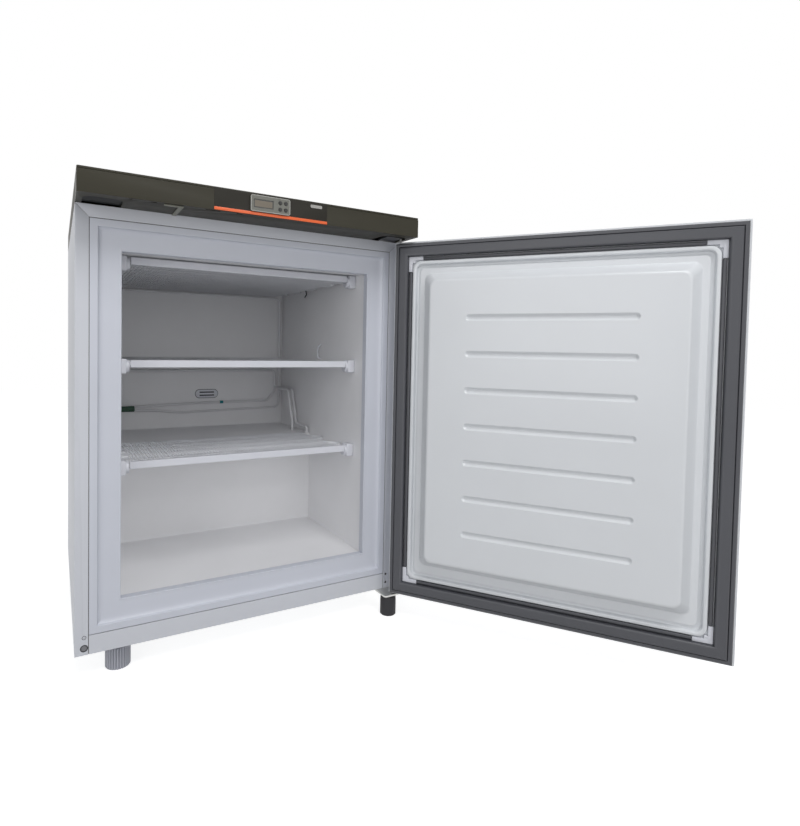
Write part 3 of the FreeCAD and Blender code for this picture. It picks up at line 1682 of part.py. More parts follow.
def bay_pipes(can):
    """Discharge, suction and liquid pipes in the bay, with the filter drier."""
    x, y = compressor_centre()
    plane = condenser_plane()
    tail = condenser_bottom - condenser_tail
    start_x = condenser_half_width - condenser_start_inset
    down_x = condenser_half_width + condenser_start_inset
    discharge = tube((
        (x - compressor_radius * compressor_wall_share, y, discharge_height),
        (-start_x, y, discharge_height),
        (-start_x, plane, discharge_height),
        (-start_x, plane, tail),
    ), condenser_tube_radius, riser_bend).cut(can)
    suction = tube((
        (x, bay_front, suction_height),
        (x, y - compressor_radius * compressor_wall_share, suction_height),
    ), bay_pipe_radius, riser_bend).cut(can)
    drier_y = y + drier_length / 2.0
    neck = drier_length * drier_neck_share
    liquid = tube((
        (down_x, plane, tail),
        (down_x, plane, drier_height),
        (down_x, drier_y - neck, drier_height),
    ), condenser_tube_radius, riser_bend)
    drier = faceted_rod(drier_radius, drier_length - 2.0 * neck, down_x, drier_y - neck, drier_height,
                        (0, -1, 0))
    necks = faceted_rod(drier_radius * drier_neck_radius_share, drier_length, down_x, drier_y, drier_height,
                        (0, -1, 0))
    capillary = tube((
        (down_x, drier_y - drier_length + neck, drier_height),
        (down_x, bay_front, drier_height),
    ), capillary_radius, riser_bend)
    return group([discharge, suction, drier.multiFuse([necks, liquid, capillary])])


def cable_gland():
    """Gland in the back panel for the mains lead, with a hexagonal nose."""
    flange = faceted_rod(gland_radius, gland_flange, gland_x, back, gland_z, (0, 1, 0), round_sides)
    nose = faceted_rod(gland_nose_radius, gland_nose, gland_x, back, gland_z, (0, 1, 0), hex_sides)
    spigot = faceted_rod(gland_spigot_radius, gland_length, gland_x, back - gland_length, gland_z, (0, 1, 0))
    depth = gland_length + gland_nose + 2.0
    bore = faceted_rod(gland_bore, depth, gland_x, back - gland_length - 1.0, gland_z, (0, 1, 0))
    return flange.multiFuse([nose, spigot]).cut(bore)


# Cabinet body
left_panel = side_panel()
save("left_side_panel", left_panel)
save("right_side_panel", mirrored(left_panel))
save("top_panel", top_panel())
save("back_panel", back_panel())
save("base_pan", base_pan())
save("bottom_front_rail", bottom_front_rail())
save("insulation_foam", insulation_foam())
save("inner_liner", inner_liner())

upright = frame_top - frame_bottom
across = 2.0 * frame_outer
save("breaker_left", breaker_strip((-frame_outer, front, frame_bottom), (0, 0, 1), (1, 0, 0), upright))
save("breaker_right", breaker_strip((frame_outer, front, frame_bottom), (0, 0, 1), (-1, 0, 0), upright))
save("breaker_bottom", breaker_strip((-frame_outer, front, frame_bottom), (1, 0, 0), (0, 0, 1), across))
save("breaker_top", breaker_strip((-frame_outer, front, frame_top), (1, 0, 0), (0, 0, -1), across))

# Lid, fascia and controller
save("top_cover", top_cover())
save("fascia_panel", fascia_panel())
save("left_hinge_cover", left_hinge_cover())
save("fascia_clip", fascia_clip())
save("control_overlay", control_overlay())
save("orange_trim_strip", orange_trim_strip())
save("controller_bezel", controller_bezel())
save("controller_body", controller_body())
save("display_window", display_window())
save("blank_badge", blank_badge())
save("button_lamp", button(0))
save("button_set", button(1))
save("button_down", button(2))
save("button_up", button(3))

# Hinges, fasteners and feet
save("lower_hinge_bracket", lower_hinge_bracket())
save("upper_hinge_bracket", upper_hinge_bracket())
lower_tip = cabinet_bottom + bush_plate_gap + pin_engagement
upper_tip = door_top - pin_engagement
save("lower_hinge_pin", hinge_pin(cabinet_bottom - plate, lower_tip))
save("upper_hinge_pin", hinge_pin(lid_underside + 2.0 * plate, upper_tip))
save("hinge_screws", hinge_screws())
save("flange_plugs", flange_plugs())
save("foot_nut", foot_nut())
save("front_left_foot", front_left_foot())
save("front_right_foot", front_right_foot())
save("rear_feet", rear_feet())

# Refrigerated shelves and pipes
save("evaporator_shelf_lower", evaporator_shelf(0))
save("evaporator_shelf_middle", evaporator_shelf(1))
save("evaporator_shelf_upper", evaporator_shelf(2))
save("shelf_trim_bars", group([shelf_trim_bar(i) for i in range(shelf_count)]))
clips = []
for level in range(shelf_count):
    right_clip = shelf_clip(level)
    clips.append(right_clip)
    clips.append(mirrored(right_clip))
save("shelf_clips", group(clips))
risers = riser_tubes()
save("riser_tubes", risers)
save("pipe_sleeve", pipe_sleeve(risers))
save("sensor_cover", sensor_cover())

# Refrigeration unit
can_shape = compressor()
save("compressor", can_shape)
save("compressor_plate", compressor_plate())
save("compressor_grommets", compressor_grommets())
save("terminal_cover", terminal_cover(can_shape))
save("condenser", condenser())
save("bay_pipes", bay_pipes(can_shape))
save("cable_gland", cable_gland())

# Door, swung open
save("door_skin", swing_open(door_skin()))
save("door_foam", swing_open(door_foam()))
save("door_liner", swing_open(door_liner()))
save("door_gasket", swing_open(group(gasket_sides() + gasket_lips())))
blocks = []
for side in (-1, 1):
    for low in (True, False):
        blocks.append(corner_block(side, low))
save("corner_blocks", swing_open(group(blocks)))
caps = [door_end_cap(door_bottom), door_end_cap(door_top - door_cap_height)]
save("door_end_caps", swing_open(group(caps)))
save("grip_cup", swing_open(grip_cup()))
bushes = [door_bush(door_bottom - bush_flange, 1), door_bush(door_top + bush_flange, -1)]
save("door_bushes", swing_open(group(bushes)))
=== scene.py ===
import bmesh
import bpy
import json
import math
from mathutils import Matrix, Vector


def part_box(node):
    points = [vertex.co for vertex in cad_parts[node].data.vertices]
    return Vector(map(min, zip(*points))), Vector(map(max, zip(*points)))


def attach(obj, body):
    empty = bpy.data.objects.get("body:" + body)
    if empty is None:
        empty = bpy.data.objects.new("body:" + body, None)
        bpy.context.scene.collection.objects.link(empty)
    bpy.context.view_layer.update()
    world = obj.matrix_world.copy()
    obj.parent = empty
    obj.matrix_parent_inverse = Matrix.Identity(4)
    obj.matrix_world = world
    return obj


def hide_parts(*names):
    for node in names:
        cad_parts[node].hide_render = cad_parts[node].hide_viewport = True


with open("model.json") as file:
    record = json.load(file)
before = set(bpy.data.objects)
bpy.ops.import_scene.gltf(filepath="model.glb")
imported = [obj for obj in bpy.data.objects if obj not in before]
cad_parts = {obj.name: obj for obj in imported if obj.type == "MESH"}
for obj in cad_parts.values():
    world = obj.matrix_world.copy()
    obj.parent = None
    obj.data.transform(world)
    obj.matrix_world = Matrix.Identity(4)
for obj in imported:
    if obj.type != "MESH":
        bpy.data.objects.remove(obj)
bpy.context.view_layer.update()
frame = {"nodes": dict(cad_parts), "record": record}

# Camera
# The photograph was taken low and close with a wide lens, a little over a metre in front of
# the cabinet, turned to the right so that the open door fills that side of the picture.
scene = bpy.context.scene
scene.view_settings.view_transform = "Standard"
picture_width = 800.0
picture_height = 826.0
lens_in_pixels = 548.65
optical_centre = (356.26, 366.95)
camera_place = Vector((-0.3256, -1.2411, 0.5513))
camera_turn = math.radians(28.703)
camera_tilt = math.radians(-1.921)
camera_roll = math.radians(1.045)

level_share = math.cos(camera_tilt)
forward = Vector((math.sin(camera_turn) * level_share, math.cos(camera_turn) * level_share,
                  math.sin(camera_tilt)))
level_right = Vector((math.cos(camera_turn), -math.sin(camera_turn), 0.0))
level_up = level_right.cross(forward)
right = level_right * math.cos(camera_roll) + level_up * math.sin(camera_roll)
up = level_up * math.cos(camera_roll) - level_right * math.sin(camera_roll)
camera_data = bpy.data.cameras.new("photograph_camera")
camera_data.lens = lens_in_pixels * camera_data.sensor_width / picture_height
camera_data.shift_x = (picture_width / 2.0 - optical_centre[0]) / picture_height
camera_data.shift_y = (optical_centre[1] - picture_height / 2.0) / picture_height
camera = bpy.data.objects.new("photograph_camera", camera_data)
camera.matrix_world = Matrix((
    (right.x, up.x, -forward.x, camera_place.x),
    (right.y, up.y, -forward.y, camera_place.y),
    (right.z, up.z, -forward.z, camera_place.z),
    (0.0, 0.0, 0.0, 1.0),
))
scene.collection.objects.link(camera)
scene.camera = camera

# Studio
# A plain pale floor, a white surround and four large soft lamps stand round the freezer.
# The floor keeps a faint shadow; only rays that show the surround itself see it as white.
floor_half = 6.0
surround_light = 0.46
surround_tint = (0.97, 0.98, 1.0, 1.0)
floor_colour = (0.55, 0.55, 0.55, 1.0)
floor_lift = 0.76


def seen_directly(tree, rays):
    """A value that is one for the named kinds of ray and nought for the rest."""
    path = tree.nodes.new("ShaderNodeLightPath")
    total = path.outputs[rays[0]]
    for ray in rays[1:]:
        joined = tree.nodes.new("ShaderNodeMath")
        joined.operation = "MAXIMUM"
        tree.links.new(total, joined.inputs[0])
        tree.links.new(path.outputs[ray], joined.inputs[1])
        total = joined.outputs[0]
    return total


surround = bpy.data.worlds.new("white_surround")
surround.use_nodes = True
scene.world = surround
sky = surround.node_tree
sky.nodes.clear()
ambient = sky.nodes.new("ShaderNodeBackground")
ambient.inputs["Color"].default_value = surround_tint
ambient.inputs["Strength"].default_value = surround_light
plain_white = sky.nodes.new("ShaderNodeBackground")
plain_white.inputs["Color"].default_value = (1.0, 1.0, 1.0, 1.0)
chooser = sky.nodes.new("ShaderNodeMixShader")
sky_out = sky.nodes.new("ShaderNodeOutputWorld")
shown_rays = ("Is Camera Ray", "Is Glossy Ray", "Is Transmission Ray")
sky.links.new(seen_directly(sky, shown_rays), chooser.inputs["Fac"])
sky.links.new(ambient.outputs[0], chooser.inputs[1])
sky.links.new(plain_white.outputs[0], chooser.inputs[2])
sky.links.new(chooser.outputs[0], sky_out.inputs["Surface"])

floor_paint = bpy.data.materials.new("studio_floor")
floor_paint.use_nodes = True
paint = floor_paint.node_tree
paint.nodes.clear()
matt = paint.nodes.new("ShaderNodeBsdfDiffuse")
matt.inputs["Color"].default_value = floor_colour
glow = paint.nodes.new("ShaderNodeEmission")
lift = paint.nodes.new("ShaderNodeMath")
lift.operation = "MULTIPLY"
lift.inputs[1].default_value = floor_lift
both = paint.nodes.new("ShaderNodeAddShader")
floor_out = paint.nodes.new("ShaderNodeOutputMaterial")
paint.links.new(seen_directly(paint, shown_rays), lift.inputs[0])
paint.links.new(lift.outputs[0], glow.inputs["Strength"])
paint.links.new(matt.outputs[0], both.inputs[0])
paint.links.new(glow.outputs[0], both.inputs[1])
paint.links.new(both.outputs[0], floor_out.inputs["Surface"])
floor_mesh = bpy.data.meshes.new("studio_floor")
floor_bm = bmesh.new()
bmesh.ops.create_grid(floor_bm, x_segments=1, y_segments=1, size=floor_half)
floor_bm.to_mesh(floor_mesh)
floor_bm.free()
floor_mesh.materials.append(floor_paint)
studio_floor = bpy.data.objects.new("studio_floor", floor_mesh)
scene.collection.objects.link(studio_floor)


def soft_lamp(name, place, target, size, power):
    """A large square lamp aimed at a point."""
    lamp_data = bpy.data.lights.new(name, "AREA")
    lamp_data.shape = "SQUARE"
    lamp_data.size = size
    lamp_data.energy = power
    lamp = bpy.data.objects.new(name, lamp_data)
    aim = (Vector(target) - Vector(place)).to_track_quat("-Z", "Y")
    lamp.matrix_world = Matrix.Translation(Vector(place)) @ aim.to_matrix().to_4x4()
    scene.collection.objects.link(lamp)


soft_lamp("lamp_front_left", (-2.3, -2.3, 1.0), (0.1, -0.3, 0.45), size=1.6, power=14.0)
soft_lamp("lamp_front_right", (0.2, -3.2, 1.2), (0.1, -0.2, 0.45), size=1.8, power=10.0)
soft_lamp("lamp_overhead", (0.1, -1.8, 2.6), (0.2, -0.4, 0.4), size=1.1, power=27.0)
soft_lamp("lamp_behind", (0.6, 2.6, 1.7), (0.1, 0.1, 0.4), size=1.6, power=14.0)

# Cabinet panels
# The outside is thin steel sheet, folded and mitred at the front corners and powder-coated
# white; the back and the pan round the compressor bay are bare galvanised sheet.
white_coat = (0.60, 0.615, 0.66)
bare_zinc = (0.50, 0.52, 0.54)
mm = 0.001
grain_height = 0.3 * mm
gloss_spread = 0.05
weld_gap = 0.01 * mm
flat_within = math.radians(0.5)
sharp_from = math.radians(40.0)
long_enough = 2.6


def surface(name, colour, roughness, grain, relief, mottle, metallic=0.0, sheen=0.5, cloud=9.0):
    """A finish with a fine grain in relief and a faint unevenness of tone and gloss."""
    finish = bpy.data.materials.new(name)
    finish.use_nodes = True
    tree = finish.node_tree
    shader = tree.nodes["Principled BSDF"]
    shader.inputs["Metallic"].default_value = metallic
    shader.inputs["Specular IOR Level"].default_value = sheen
    where = tree.nodes.new("ShaderNodeTexCoord")
    patches = tree.nodes.new("ShaderNodeTexNoise")
    patches.inputs["Scale"].default_value = cloud
    patches.inputs["Detail"].default_value = 4.0
    tree.links.new(where.outputs["Object"], patches.inputs["Vector"])
    tones = tree.nodes.new("ShaderNodeValToRGB")
    tones.color_ramp.elements[0].position = 0.3
    tones.color_ramp.elements[1].position = 0.7
    tones.color_ramp.elements[0].color = [c * (1.0 - mottle) for c in colour] + [1.0]
    tones.color_ramp.elements[1].color = [min(1.0, c * (1.0 + mottle)) for c in colour] + [1.0]
    tree.links.new(patches.outputs["Fac"], tones.inputs["Fac"])
    tree.links.new(tones.outputs["Color"], shader.inputs["Base Color"])
    gloss = tree.nodes.new("ShaderNodeMapRange")
    gloss.inputs["To Min"].default_value = max(0.02, roughness - gloss_spread)
    gloss.inputs["To Max"].default_value = min(1.0, roughness + gloss_spread)
    tree.links.new(patches.outputs["Fac"], gloss.inputs["Value"])
    tree.links.new(gloss.outputs["Result"], shader.inputs["Roughness"])
    specks = tree.nodes.new("ShaderNodeTexNoise")
    specks.inputs["Scale"].default_value = grain
    specks.inputs["Detail"].default_value = 2.0
    tree.links.new(where.outputs["Object"], specks.inputs["Vector"])
    bump = tree.nodes.new("ShaderNodeBump")
    bump.inputs["Strength"].default_value = relief
    bump.inputs["Distance"].default_value = grain_height
    tree.links.new(specks.outputs["Fac"], bump.inputs["Height"])
    tree.links.new(bump.outputs["Normal"], shader.inputs["Normal"])
    return finish


def finished(bm, name, body, finish, nodes=(), smooth_up_to=26.0):
    """A piece from its mesh, in its finish, on its body, in place of the solids it dresses."""
    mesh = bpy.data.meshes.new(name)
    bm.to_mesh(mesh)
    bm.free()
    mesh.materials.append(finish)
    mesh.shade_smooth()
    mesh.set_sharp_from_angle(angle=math.radians(smooth_up_to))
    piece = bpy.data.objects.new(name, mesh)
    scene.collection.objects.link(piece)
    if nodes:
        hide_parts(*nodes)
    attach(piece, body)


def merged_faces(node):
    """A solid's own faces, with the small flat ones merged."""
    bm = bmesh.new()
    bm.from_mesh(frame["nodes"][node].data)
    bmesh.ops.remove_doubles(bm, verts=bm.verts, dist=weld_gap)
    bmesh.ops.dissolve_limit(bm, angle_limit=flat_within, verts=bm.verts, edges=bm.edges)
    return bm


def rounded(bm, lines, width, steps=2, clamp=False):
    """Edges rounded off to a width, in steps."""
    bmesh.ops.bevel(bm, geom=lines, offset=width, offset_type="OFFSET", segments=steps, profile=0.5,
                    affect="EDGES", clamp_overlap=clamp, material=-1)


def softened(node, body, finish, edge):
    """A solid's merged faces, with the long sharp edges broken as on the real part."""
    bm = merged_faces(node)
    if edge > 0.0:
        sharp = []
        for line in bm.edges:
            if line.is_manifold and line.calc_length() > long_enough * edge:
                if line.calc_face_angle() > sharp_from:
                    sharp.append(line)
        rounded(bm, sharp, edge, clamp=True)
    for face in bm.faces:
        face.material_index = 0
    finished(bm, node + "_finished", body, finish, (node,))


panel_paint = surface("white_powder_coat", white_coat, 0.38, grain=1500.0, relief=0.06, mottle=0.012)
zinc_sheet = surface("galvanised_sheet", bare_zinc, 0.42, grain=90.0, relief=0.03, mottle=0.10,
                     metallic=0.85, cloud=60.0)
for panel in ("left_side_panel", "right_side_panel", "top_panel", "bottom_front_rail"):
    softened(panel, "cabinet", panel_paint, 0.35 * mm)
for panel in ("back_panel", "base_pan"):
    softened(panel, "cabinet", zinc_sheet, 0.3 * mm)

# Insulation and liner
# Rigid polyurethane foam fills the walls; the stepped white liner in front of it is a thin
# plastic sheet drawn over a mould, with rounded corners and an orange-peel skin.
# The foam is given a dark grey, not its own pale yellow: painted shade for the seams where it shows.
foam_seam_shade_tone = (0.13, 0.125, 0.115)
liner_colour = (0.82, 0.82, 0.835)

foam_seam_shade_finish = surface("foam_painted_seam_shade", foam_seam_shade_tone, 0.9, grain=260.0, relief=0.4, mottle=0.10)
liner_skin = surface("drawn_liner", liner_colour, 0.42, grain=520.0, relief=0.09, mottle=0.02)
softened("insulation_foam", "cabinet", foam_seam_shade_finish, 0.0)
softened("inner_liner", "cabinet", liner_skin, 0.0)

# Breaker frame
# Four extruded plastic strips, mitred at the corners, bridge the cold liner and the warm
# sheet metal; each has a flat, a step down, a hollow bevel, a small bead and a ribbed lip.
breaker_colour = (0.58, 0.60, 0.665)
breaker_low = 79.0 * mm
breaker_high = 751.0 * mm
breaker_half = 279.0 * mm
breaker_section = (
    (0.0, 8.4), (0.0, 0.5), (0.5, 0.0), (11.6, 0.0), (12.0, 0.3), (12.3, 1.6), (12.9, 3.0), (14.0, 4.2),
    (15.6, 5.0), (18.0, 5.6), (21.5, 5.9), (25.6, 6.0), (45.0, 6.0), (45.7, 5.6), (46.8, 5.4), (47.7, 5.8),
    (48.0, 6.6), (48.0, 9.8), (47.0, 10.0), (47.0, 10.8), (48.0, 11.0), (48.0, 15.6), (47.0, 15.8),
    (47.0, 16.6), (48.0, 16.8), (48.0, 19.6), (47.6, 20.0), (45.5, 20.0), (45.5, 8.4),
)

breaker_skin = surface("breaker_plastic", breaker_colour, 0.34, grain=900.0, relief=0.04, mottle=0.015)


def with_supports(section, margin, least):
    """The section with a point added near both ends of each long flat, so that it shades flat."""
    points = [section[0]]
    for first, second in zip(section, section[1:]):
        span = math.hypot(second[0] - first[0], second[1] - first[1])
        if span > least:
            for share in (margin / span, 1.0 - margin / span):
                points.append(tuple(a + (b - a) * share for a, b in zip(first, second)))
        points.append(second)
    return points


breaker_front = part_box("breaker_left")[0].y
breaker_middle = (breaker_low + breaker_high) / 2.0
breaker_rise = (breaker_high - breaker_low) / 2.0
profile = with_supports(breaker_section, margin=0.5, least=3.0)
for strip, quarter in (("breaker_right", 0), ("breaker_top", 1), ("breaker_left", 2), ("breaker_bottom", 3)):
    reach, along = (breaker_half, breaker_rise) if quarter in (0, 2) else (breaker_rise, breaker_half)
    strip_bm = bmesh.new()
    start = []
    for across, deep in profile:
        start.append(strip_bm.verts.new((reach - across * mm, deep * mm, across * mm - along)))
    grown = bmesh.ops.extrude_face_region(strip_bm, geom=[strip_bm.faces.new(start)])
    for corner in [g for g in grown["geom"] if isinstance(g, bmesh.types.BMVert)]:
        corner.co.z = -corner.co.z
    bmesh.ops.recalc_face_normals(strip_bm, faces=strip_bm.faces)
    turned_round = Matrix.Rotation(-quarter * math.pi / 2.0, 4, "Y")
    placed = Matrix.Translation((0.0, breaker_front, breaker_middle)) @ turned_round
    bmesh.ops.transform(strip_bm, matrix=placed, verts=strip_bm.verts)
    finished(strip_bm, strip + "_finished", "cabinet", breaker_skin, (strip,), smooth_up_to=34.0)

# Lid and fascia
# The lid and the deep fascia under it are dark moulded plastic, satin on the outside.
# The fascia's floor has slots, a pocket over each hinge place and a pale plastic clip.
lid_colour = (0.034, 0.031, 0.020)
# The hinge cover's near-black, darker than the lid, and the clip's dark tone, far below pale plastic, are
# painted shade under the lid.
fascia_floor_shade_tone = (0.008, 0.009, 0.008)
clip_shade_tone = (0.24, 0.24, 0.20)

lid_skin = surface("dark_lid_plastic", lid_colour, 0.42, grain=1300.0, relief=0.05, mottle=0.06, sheen=0.22)
hinge_cover_shade_finish = surface("near_black_plastic_in_shade", fascia_floor_shade_tone, 0.45, grain=800.0, relief=0.08, mottle=0.05,
                     sheen=0.25)
clip_shade_finish = surface("beige_clip_plastic_in_shade", clip_shade_tone, 0.5, grain=600.0, relief=0.05, mottle=0.03)
softened("top_cover", "cabinet", lid_skin, 1.4 * mm)
softened("fascia_panel", "cabinet", lid_skin, 1.0 * mm)
softened("left_hinge_cover", "cabinet", hinge_cover_shade_finish, 0.8 * mm)
softened("fascia_clip", "cabinet", clip_shade_finish, 0.6 * mm)

# Controller
# A satin film and a thin orange strip lie on the fascia. The light grey housing over them has
# a raised rim in a painted highlight, a dark window with a liquid-crystal panel on its face, and four push
# buttons.
film_colour = (0.022, 0.020, 0.015)
strip_colour = (0.80, 0.13, 0.03)
frame_colour = (0.15, 0.15, 0.13)
glass_colour = (0.030, 0.030, 0.028)
# The rim's light grey stands for light caught on the housing's edge: painted highlight.
bezel_rim_highlight_tone = (0.40, 0.40, 0.37)
rim_width = 1.1 * mm
rim_proud = 0.4 * mm
crystal_colour = (0.15, 0.125, 0.090)
button_colour = (0.018, 0.018, 0.017)
badge_colour = (0.36, 0.35, 0.33)
button_radius = 3.2 * mm
button_collar_radius = 4.1 * mm
crystal_margin = 1.6 * mm
crystal_proud = 0.06 * mm
case_colour = (0.02, 0.02, 0.022)
trim_below = 1.4 * mm
trim_above = 0.6 * mm
trim_round = 0.35 * mm
rim_corner = 3.0 * mm
rim_section = ((0.0, 0.3), (0.0, -0.8), (0.25, -1.0), (0.75, -1.0), (1.0, -0.8), (1.0, 0.3), (0.0, 0.3))
tight_weld = 0.004 * mm
button_stem_radius = 1.6 * mm
button_stem = 5.0 * mm
button_collar = 1.0 * mm

film_skin = surface("satin_film", film_colour, 0.4, grain=2000.0, relief=0.03, mottle=0.03, sheen=0.2)
strip_skin = surface("orange_plastic", strip_colour, 0.32, grain=900.0, relief=0.03, mottle=0.03)
bezel_skin = surface("grey_bezel_plastic", frame_colour, 0.42, grain=900.0, relief=0.08, mottle=0.03)
case_skin = surface("black_case_plastic", case_colour, 0.55, grain=700.0, relief=0.08, mottle=0.05)
button_skin = surface("button_plastic", button_colour, 0.38, grain=900.0, relief=0.04, mottle=0.02)
badge_skin = surface("plain_badge", badge_colour, 0.4, grain=900.0, relief=0.03, mottle=0.02)
bezel_rim_highlight_finish = surface("bezel_edge_painted_highlight", bezel_rim_highlight_tone, 0.35, grain=900.0, relief=0.05, mottle=0.03)
crystal_skin = surface("liquid_crystal_panel", crystal_colour, 0.25, grain=900.0, relief=0.01, mottle=0.03)
softened("control_overlay", "cabinet", film_skin, 0.15 * mm)
softened("controller_bezel", "cabinet", bezel_skin, 0.5 * mm)
softened("controller_body", "cabinet", case_skin, 0.5 * mm)
softened("blank_badge", "cabinet", badge_skin, 0.2 * mm)

window_glass = surface("dark_window", glass_colour, 0.10, grain=400.0, relief=0.0, mottle=0.01)
softened("display_window", "cabinet", window_glass, 0.15 * mm)


def slab(bm, low, high):
    """A block between two corners."""
    low = Vector(low)
    high = Vector(high)
    made = bmesh.ops.create_cube(bm, size=1.0)
    size = high - low
    bmesh.ops.scale(bm, vec=size, verts=made["verts"])
    bmesh.ops.translate(bm, vec=(low + high) / 2.0, verts=made["verts"])


window_low, window_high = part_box("display_window")
crystal_bm = bmesh.new()
slab(crystal_bm,
     (window_low.x + crystal_margin, window_low.y - crystal_proud, window_low.z + crystal_margin),
     (window_high.x - crystal_margin, window_low.y + crystal_proud, window_high.z - crystal_margin))
finished(crystal_bm, "liquid_crystal", "cabinet", crystal_skin)

strip_low, strip_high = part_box("orange_trim_strip")
trim_bm = bmesh.new()
slab(trim_bm, (strip_low.x, strip_low.y, strip_low.z - trim_below),
     (strip_high.x, strip_high.y, strip_high.z + trim_above))
rounded(trim_bm, trim_bm.edges, trim_round)
finished(trim_bm, "orange_trim_strip_finished", "cabinet", strip_skin, ("orange_trim_strip",))


def grown_ring(bm, lines):
    """Edges drawn out into a strip of faces: its fresh corners and edges."""
    grown = bmesh.ops.extrude_edge_only(bm, edges=lines)["geom"]
    fresh = {g for g in grown if isinstance(g, bmesh.types.BMVert)}
    return fresh, [g for g in grown if isinstance(g, bmesh.types.BMEdge) and set(g.verts) <= fresh]


def drawn_rings(bm, rings, arc=7):
    """A sheet drawn through rounded rectangles: half width, bottom, top, depth and corner of each."""
    circle = bmesh.ops.create_circle(bm, cap_ends=False, radius=1.0, segments=4 * (arc + 1))["verts"]
    seats = {corner: index for index, corner in enumerate(circle)}
    first = list({line for corner in circle for line in corner.link_edges})
    lines = first
    for number, (half, low, high, y, radius) in enumerate(rings):
        if number > 0:
            fresh, lines = grown_ring(bm, lines)
            before = seats
            seats = {}
            for corner in fresh:
                beside = [line.other_vert(corner) for line in corner.link_edges]
                seats[corner] = before[[v for v in beside if v not in fresh][0]]
        for corner, index in seats.items():
            quarter, step = divmod(index, arc + 1)
            angle = math.radians(90.0 * (quarter + step / arc))
            centre_x = half - radius if quarter in (0, 3) else radius - half
            centre_z = high - radius if quarter < 2 else low + radius
            corner.co = (centre_x + radius * math.cos(angle), y, centre_z + radius * math.sin(angle))
    return first, lines


bezel_low, bezel_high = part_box("controller_bezel")
bezel_half = (bezel_high.x - bezel_low.x) / 2.0
rim_bm = bmesh.new()
rings = []
for inset, proud in rim_section:
    inwards = inset * rim_width
    rings.append((bezel_half - inwards, bezel_low.z + inwards, bezel_high.z - inwards,
                  bezel_low.y + proud * rim_proud, rim_corner - inwards))
drawn_rings(rim_bm, rings, arc=5)
bmesh.ops.remove_doubles(rim_bm, verts=rim_bm.verts, dist=tight_weld)
bmesh.ops.recalc_face_normals(rim_bm, faces=rim_bm.faces)
bmesh.ops.translate(rim_bm, vec=((bezel_low.x + bezel_high.x) / 2.0, 0.0, 0.0), verts=rim_bm.verts)
finished(rim_bm, "bezel_rim", "cabinet", bezel_rim_highlight_finish)


def turned(bm, profile, place, steps=32):
    """A turned shape: radius and height pairs, spun full round the place's own Z axis."""
    points = [bm.verts.new((radius, 0.0, height)) for radius, height in profile]
    lines = [bm.edges.new(pair) for pair in zip(points, points[1:])]
    bmesh.ops.spin(bm, geom=points + lines, cent=(0, 0, 0), axis=(0, 0, 1), angle=2.0 * math.pi, steps=steps,
                   use_merge=True)
    made = [v for v in bm.verts if not v.tag]
    bmesh.ops.remove_doubles(bm, verts=made, dist=tight_weld)
    made = [v for v in bm.verts if not v.tag]
    faces = {f for v in made for f in v.link_faces}
    bmesh.ops.recalc_face_normals(bm, faces=list(faces))
    bmesh.ops.transform(bm, matrix=place, verts=made)
    for v in made:
        v.tag = True


def pointing(direction, place):
    """A placement whose Z axis points along a direction."""
    return Matrix.Translation(Vector(place)) @ Vector(direction).to_track_quat("Z", "Y").to_matrix().to_4x4()


for button in ("button_lamp", "button_set", "button_down", "button_up"):
    low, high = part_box(button)
    centre = (low + high) / 2.0
    top = high.y - low.y
    button_bm = bmesh.new()
    turned(button_bm, (
        (0.0, 0.0), (button_stem_radius, 0.0), (button_stem_radius, button_stem),
        (button_collar_radius, button_stem), (button_collar_radius, button_stem + button_collar),
        (button_radius, button_stem + button_collar), (button_radius, top - 0.7 * mm),
        (button_radius * 0.93, top - 0.25 * mm), (button_radius * 0.78, top),
        (button_radius * 0.5, top - 0.15 * mm), (0.0, top - 0.2 * mm),
    ), pointing((0, -1, 0), (centre.x, high.y, centre.z)))
    finished(button_bm, button + "_finished", button + "_cap", button_skin, (button,))

# Hinges and fasteners
# Two zinc-plated steel plates, held by pan-head screws, carry riveted pins, and the door turns
# on them in plastic bushes. A plug and a hex bolt close the holes for the other hand of hinge;
# each sits on a near-black disc of painted shadow that stands for the dark gap round it.
zinc_colour = (0.60, 0.60, 0.58)
bush_colour = (0.20, 0.20, 0.20)
pin_radius = 3.0 * mm
pin_head_radius = 4.2 * mm
pin_head = 1.6 * mm
pin_chamfer = 0.8 * mm
bolt_and_hinge_shade_tone = (0.16, 0.16, 0.17)
painted_shadow_tone = (0.035, 0.035, 0.04)
plug_z = 76.0 * mm
plug_section = ((0.0, -5.0), (2.7, -5.0), (2.7, -0.4), (2.2, 0.0), (0.9, 0.0), (0.6, -0.4), (0.0, -0.5))
plug_shadow_radius = 3.3 * mm
bolt_z = 58.5 * mm
bolt_radius = 5.1 * mm
bolt_height = 3.0 * mm
bolt_land = 1.0 * mm
bolt_chamfer = 0.5 * mm
bolt_shadow_radius = 6.0 * mm
shadow_disc_back = -1.0 * mm
shadow_disc_front = -0.22 * mm

zinc_plate = surface("bright_zinc", zinc_colour, 0.28, grain=500.0, relief=0.04, mottle=0.05, metallic=0.9)
# The dark bolt finish is the bolt's own colour, and on the upper hinge plate it is painted shade.
bolt_and_hinge_shade_finish = surface("dark_bolt_zinc_and_hinge_shade", bolt_and_hinge_shade_tone, 0.35, grain=500.0, relief=0.04, mottle=0.08,
                    metallic=0.8)
bush_skin = surface("acetal", bush_colour, 0.4, grain=700.0, relief=0.02, mottle=0.02)
softened("lower_hinge_bracket", "cabinet", zinc_plate, 0.5 * mm)
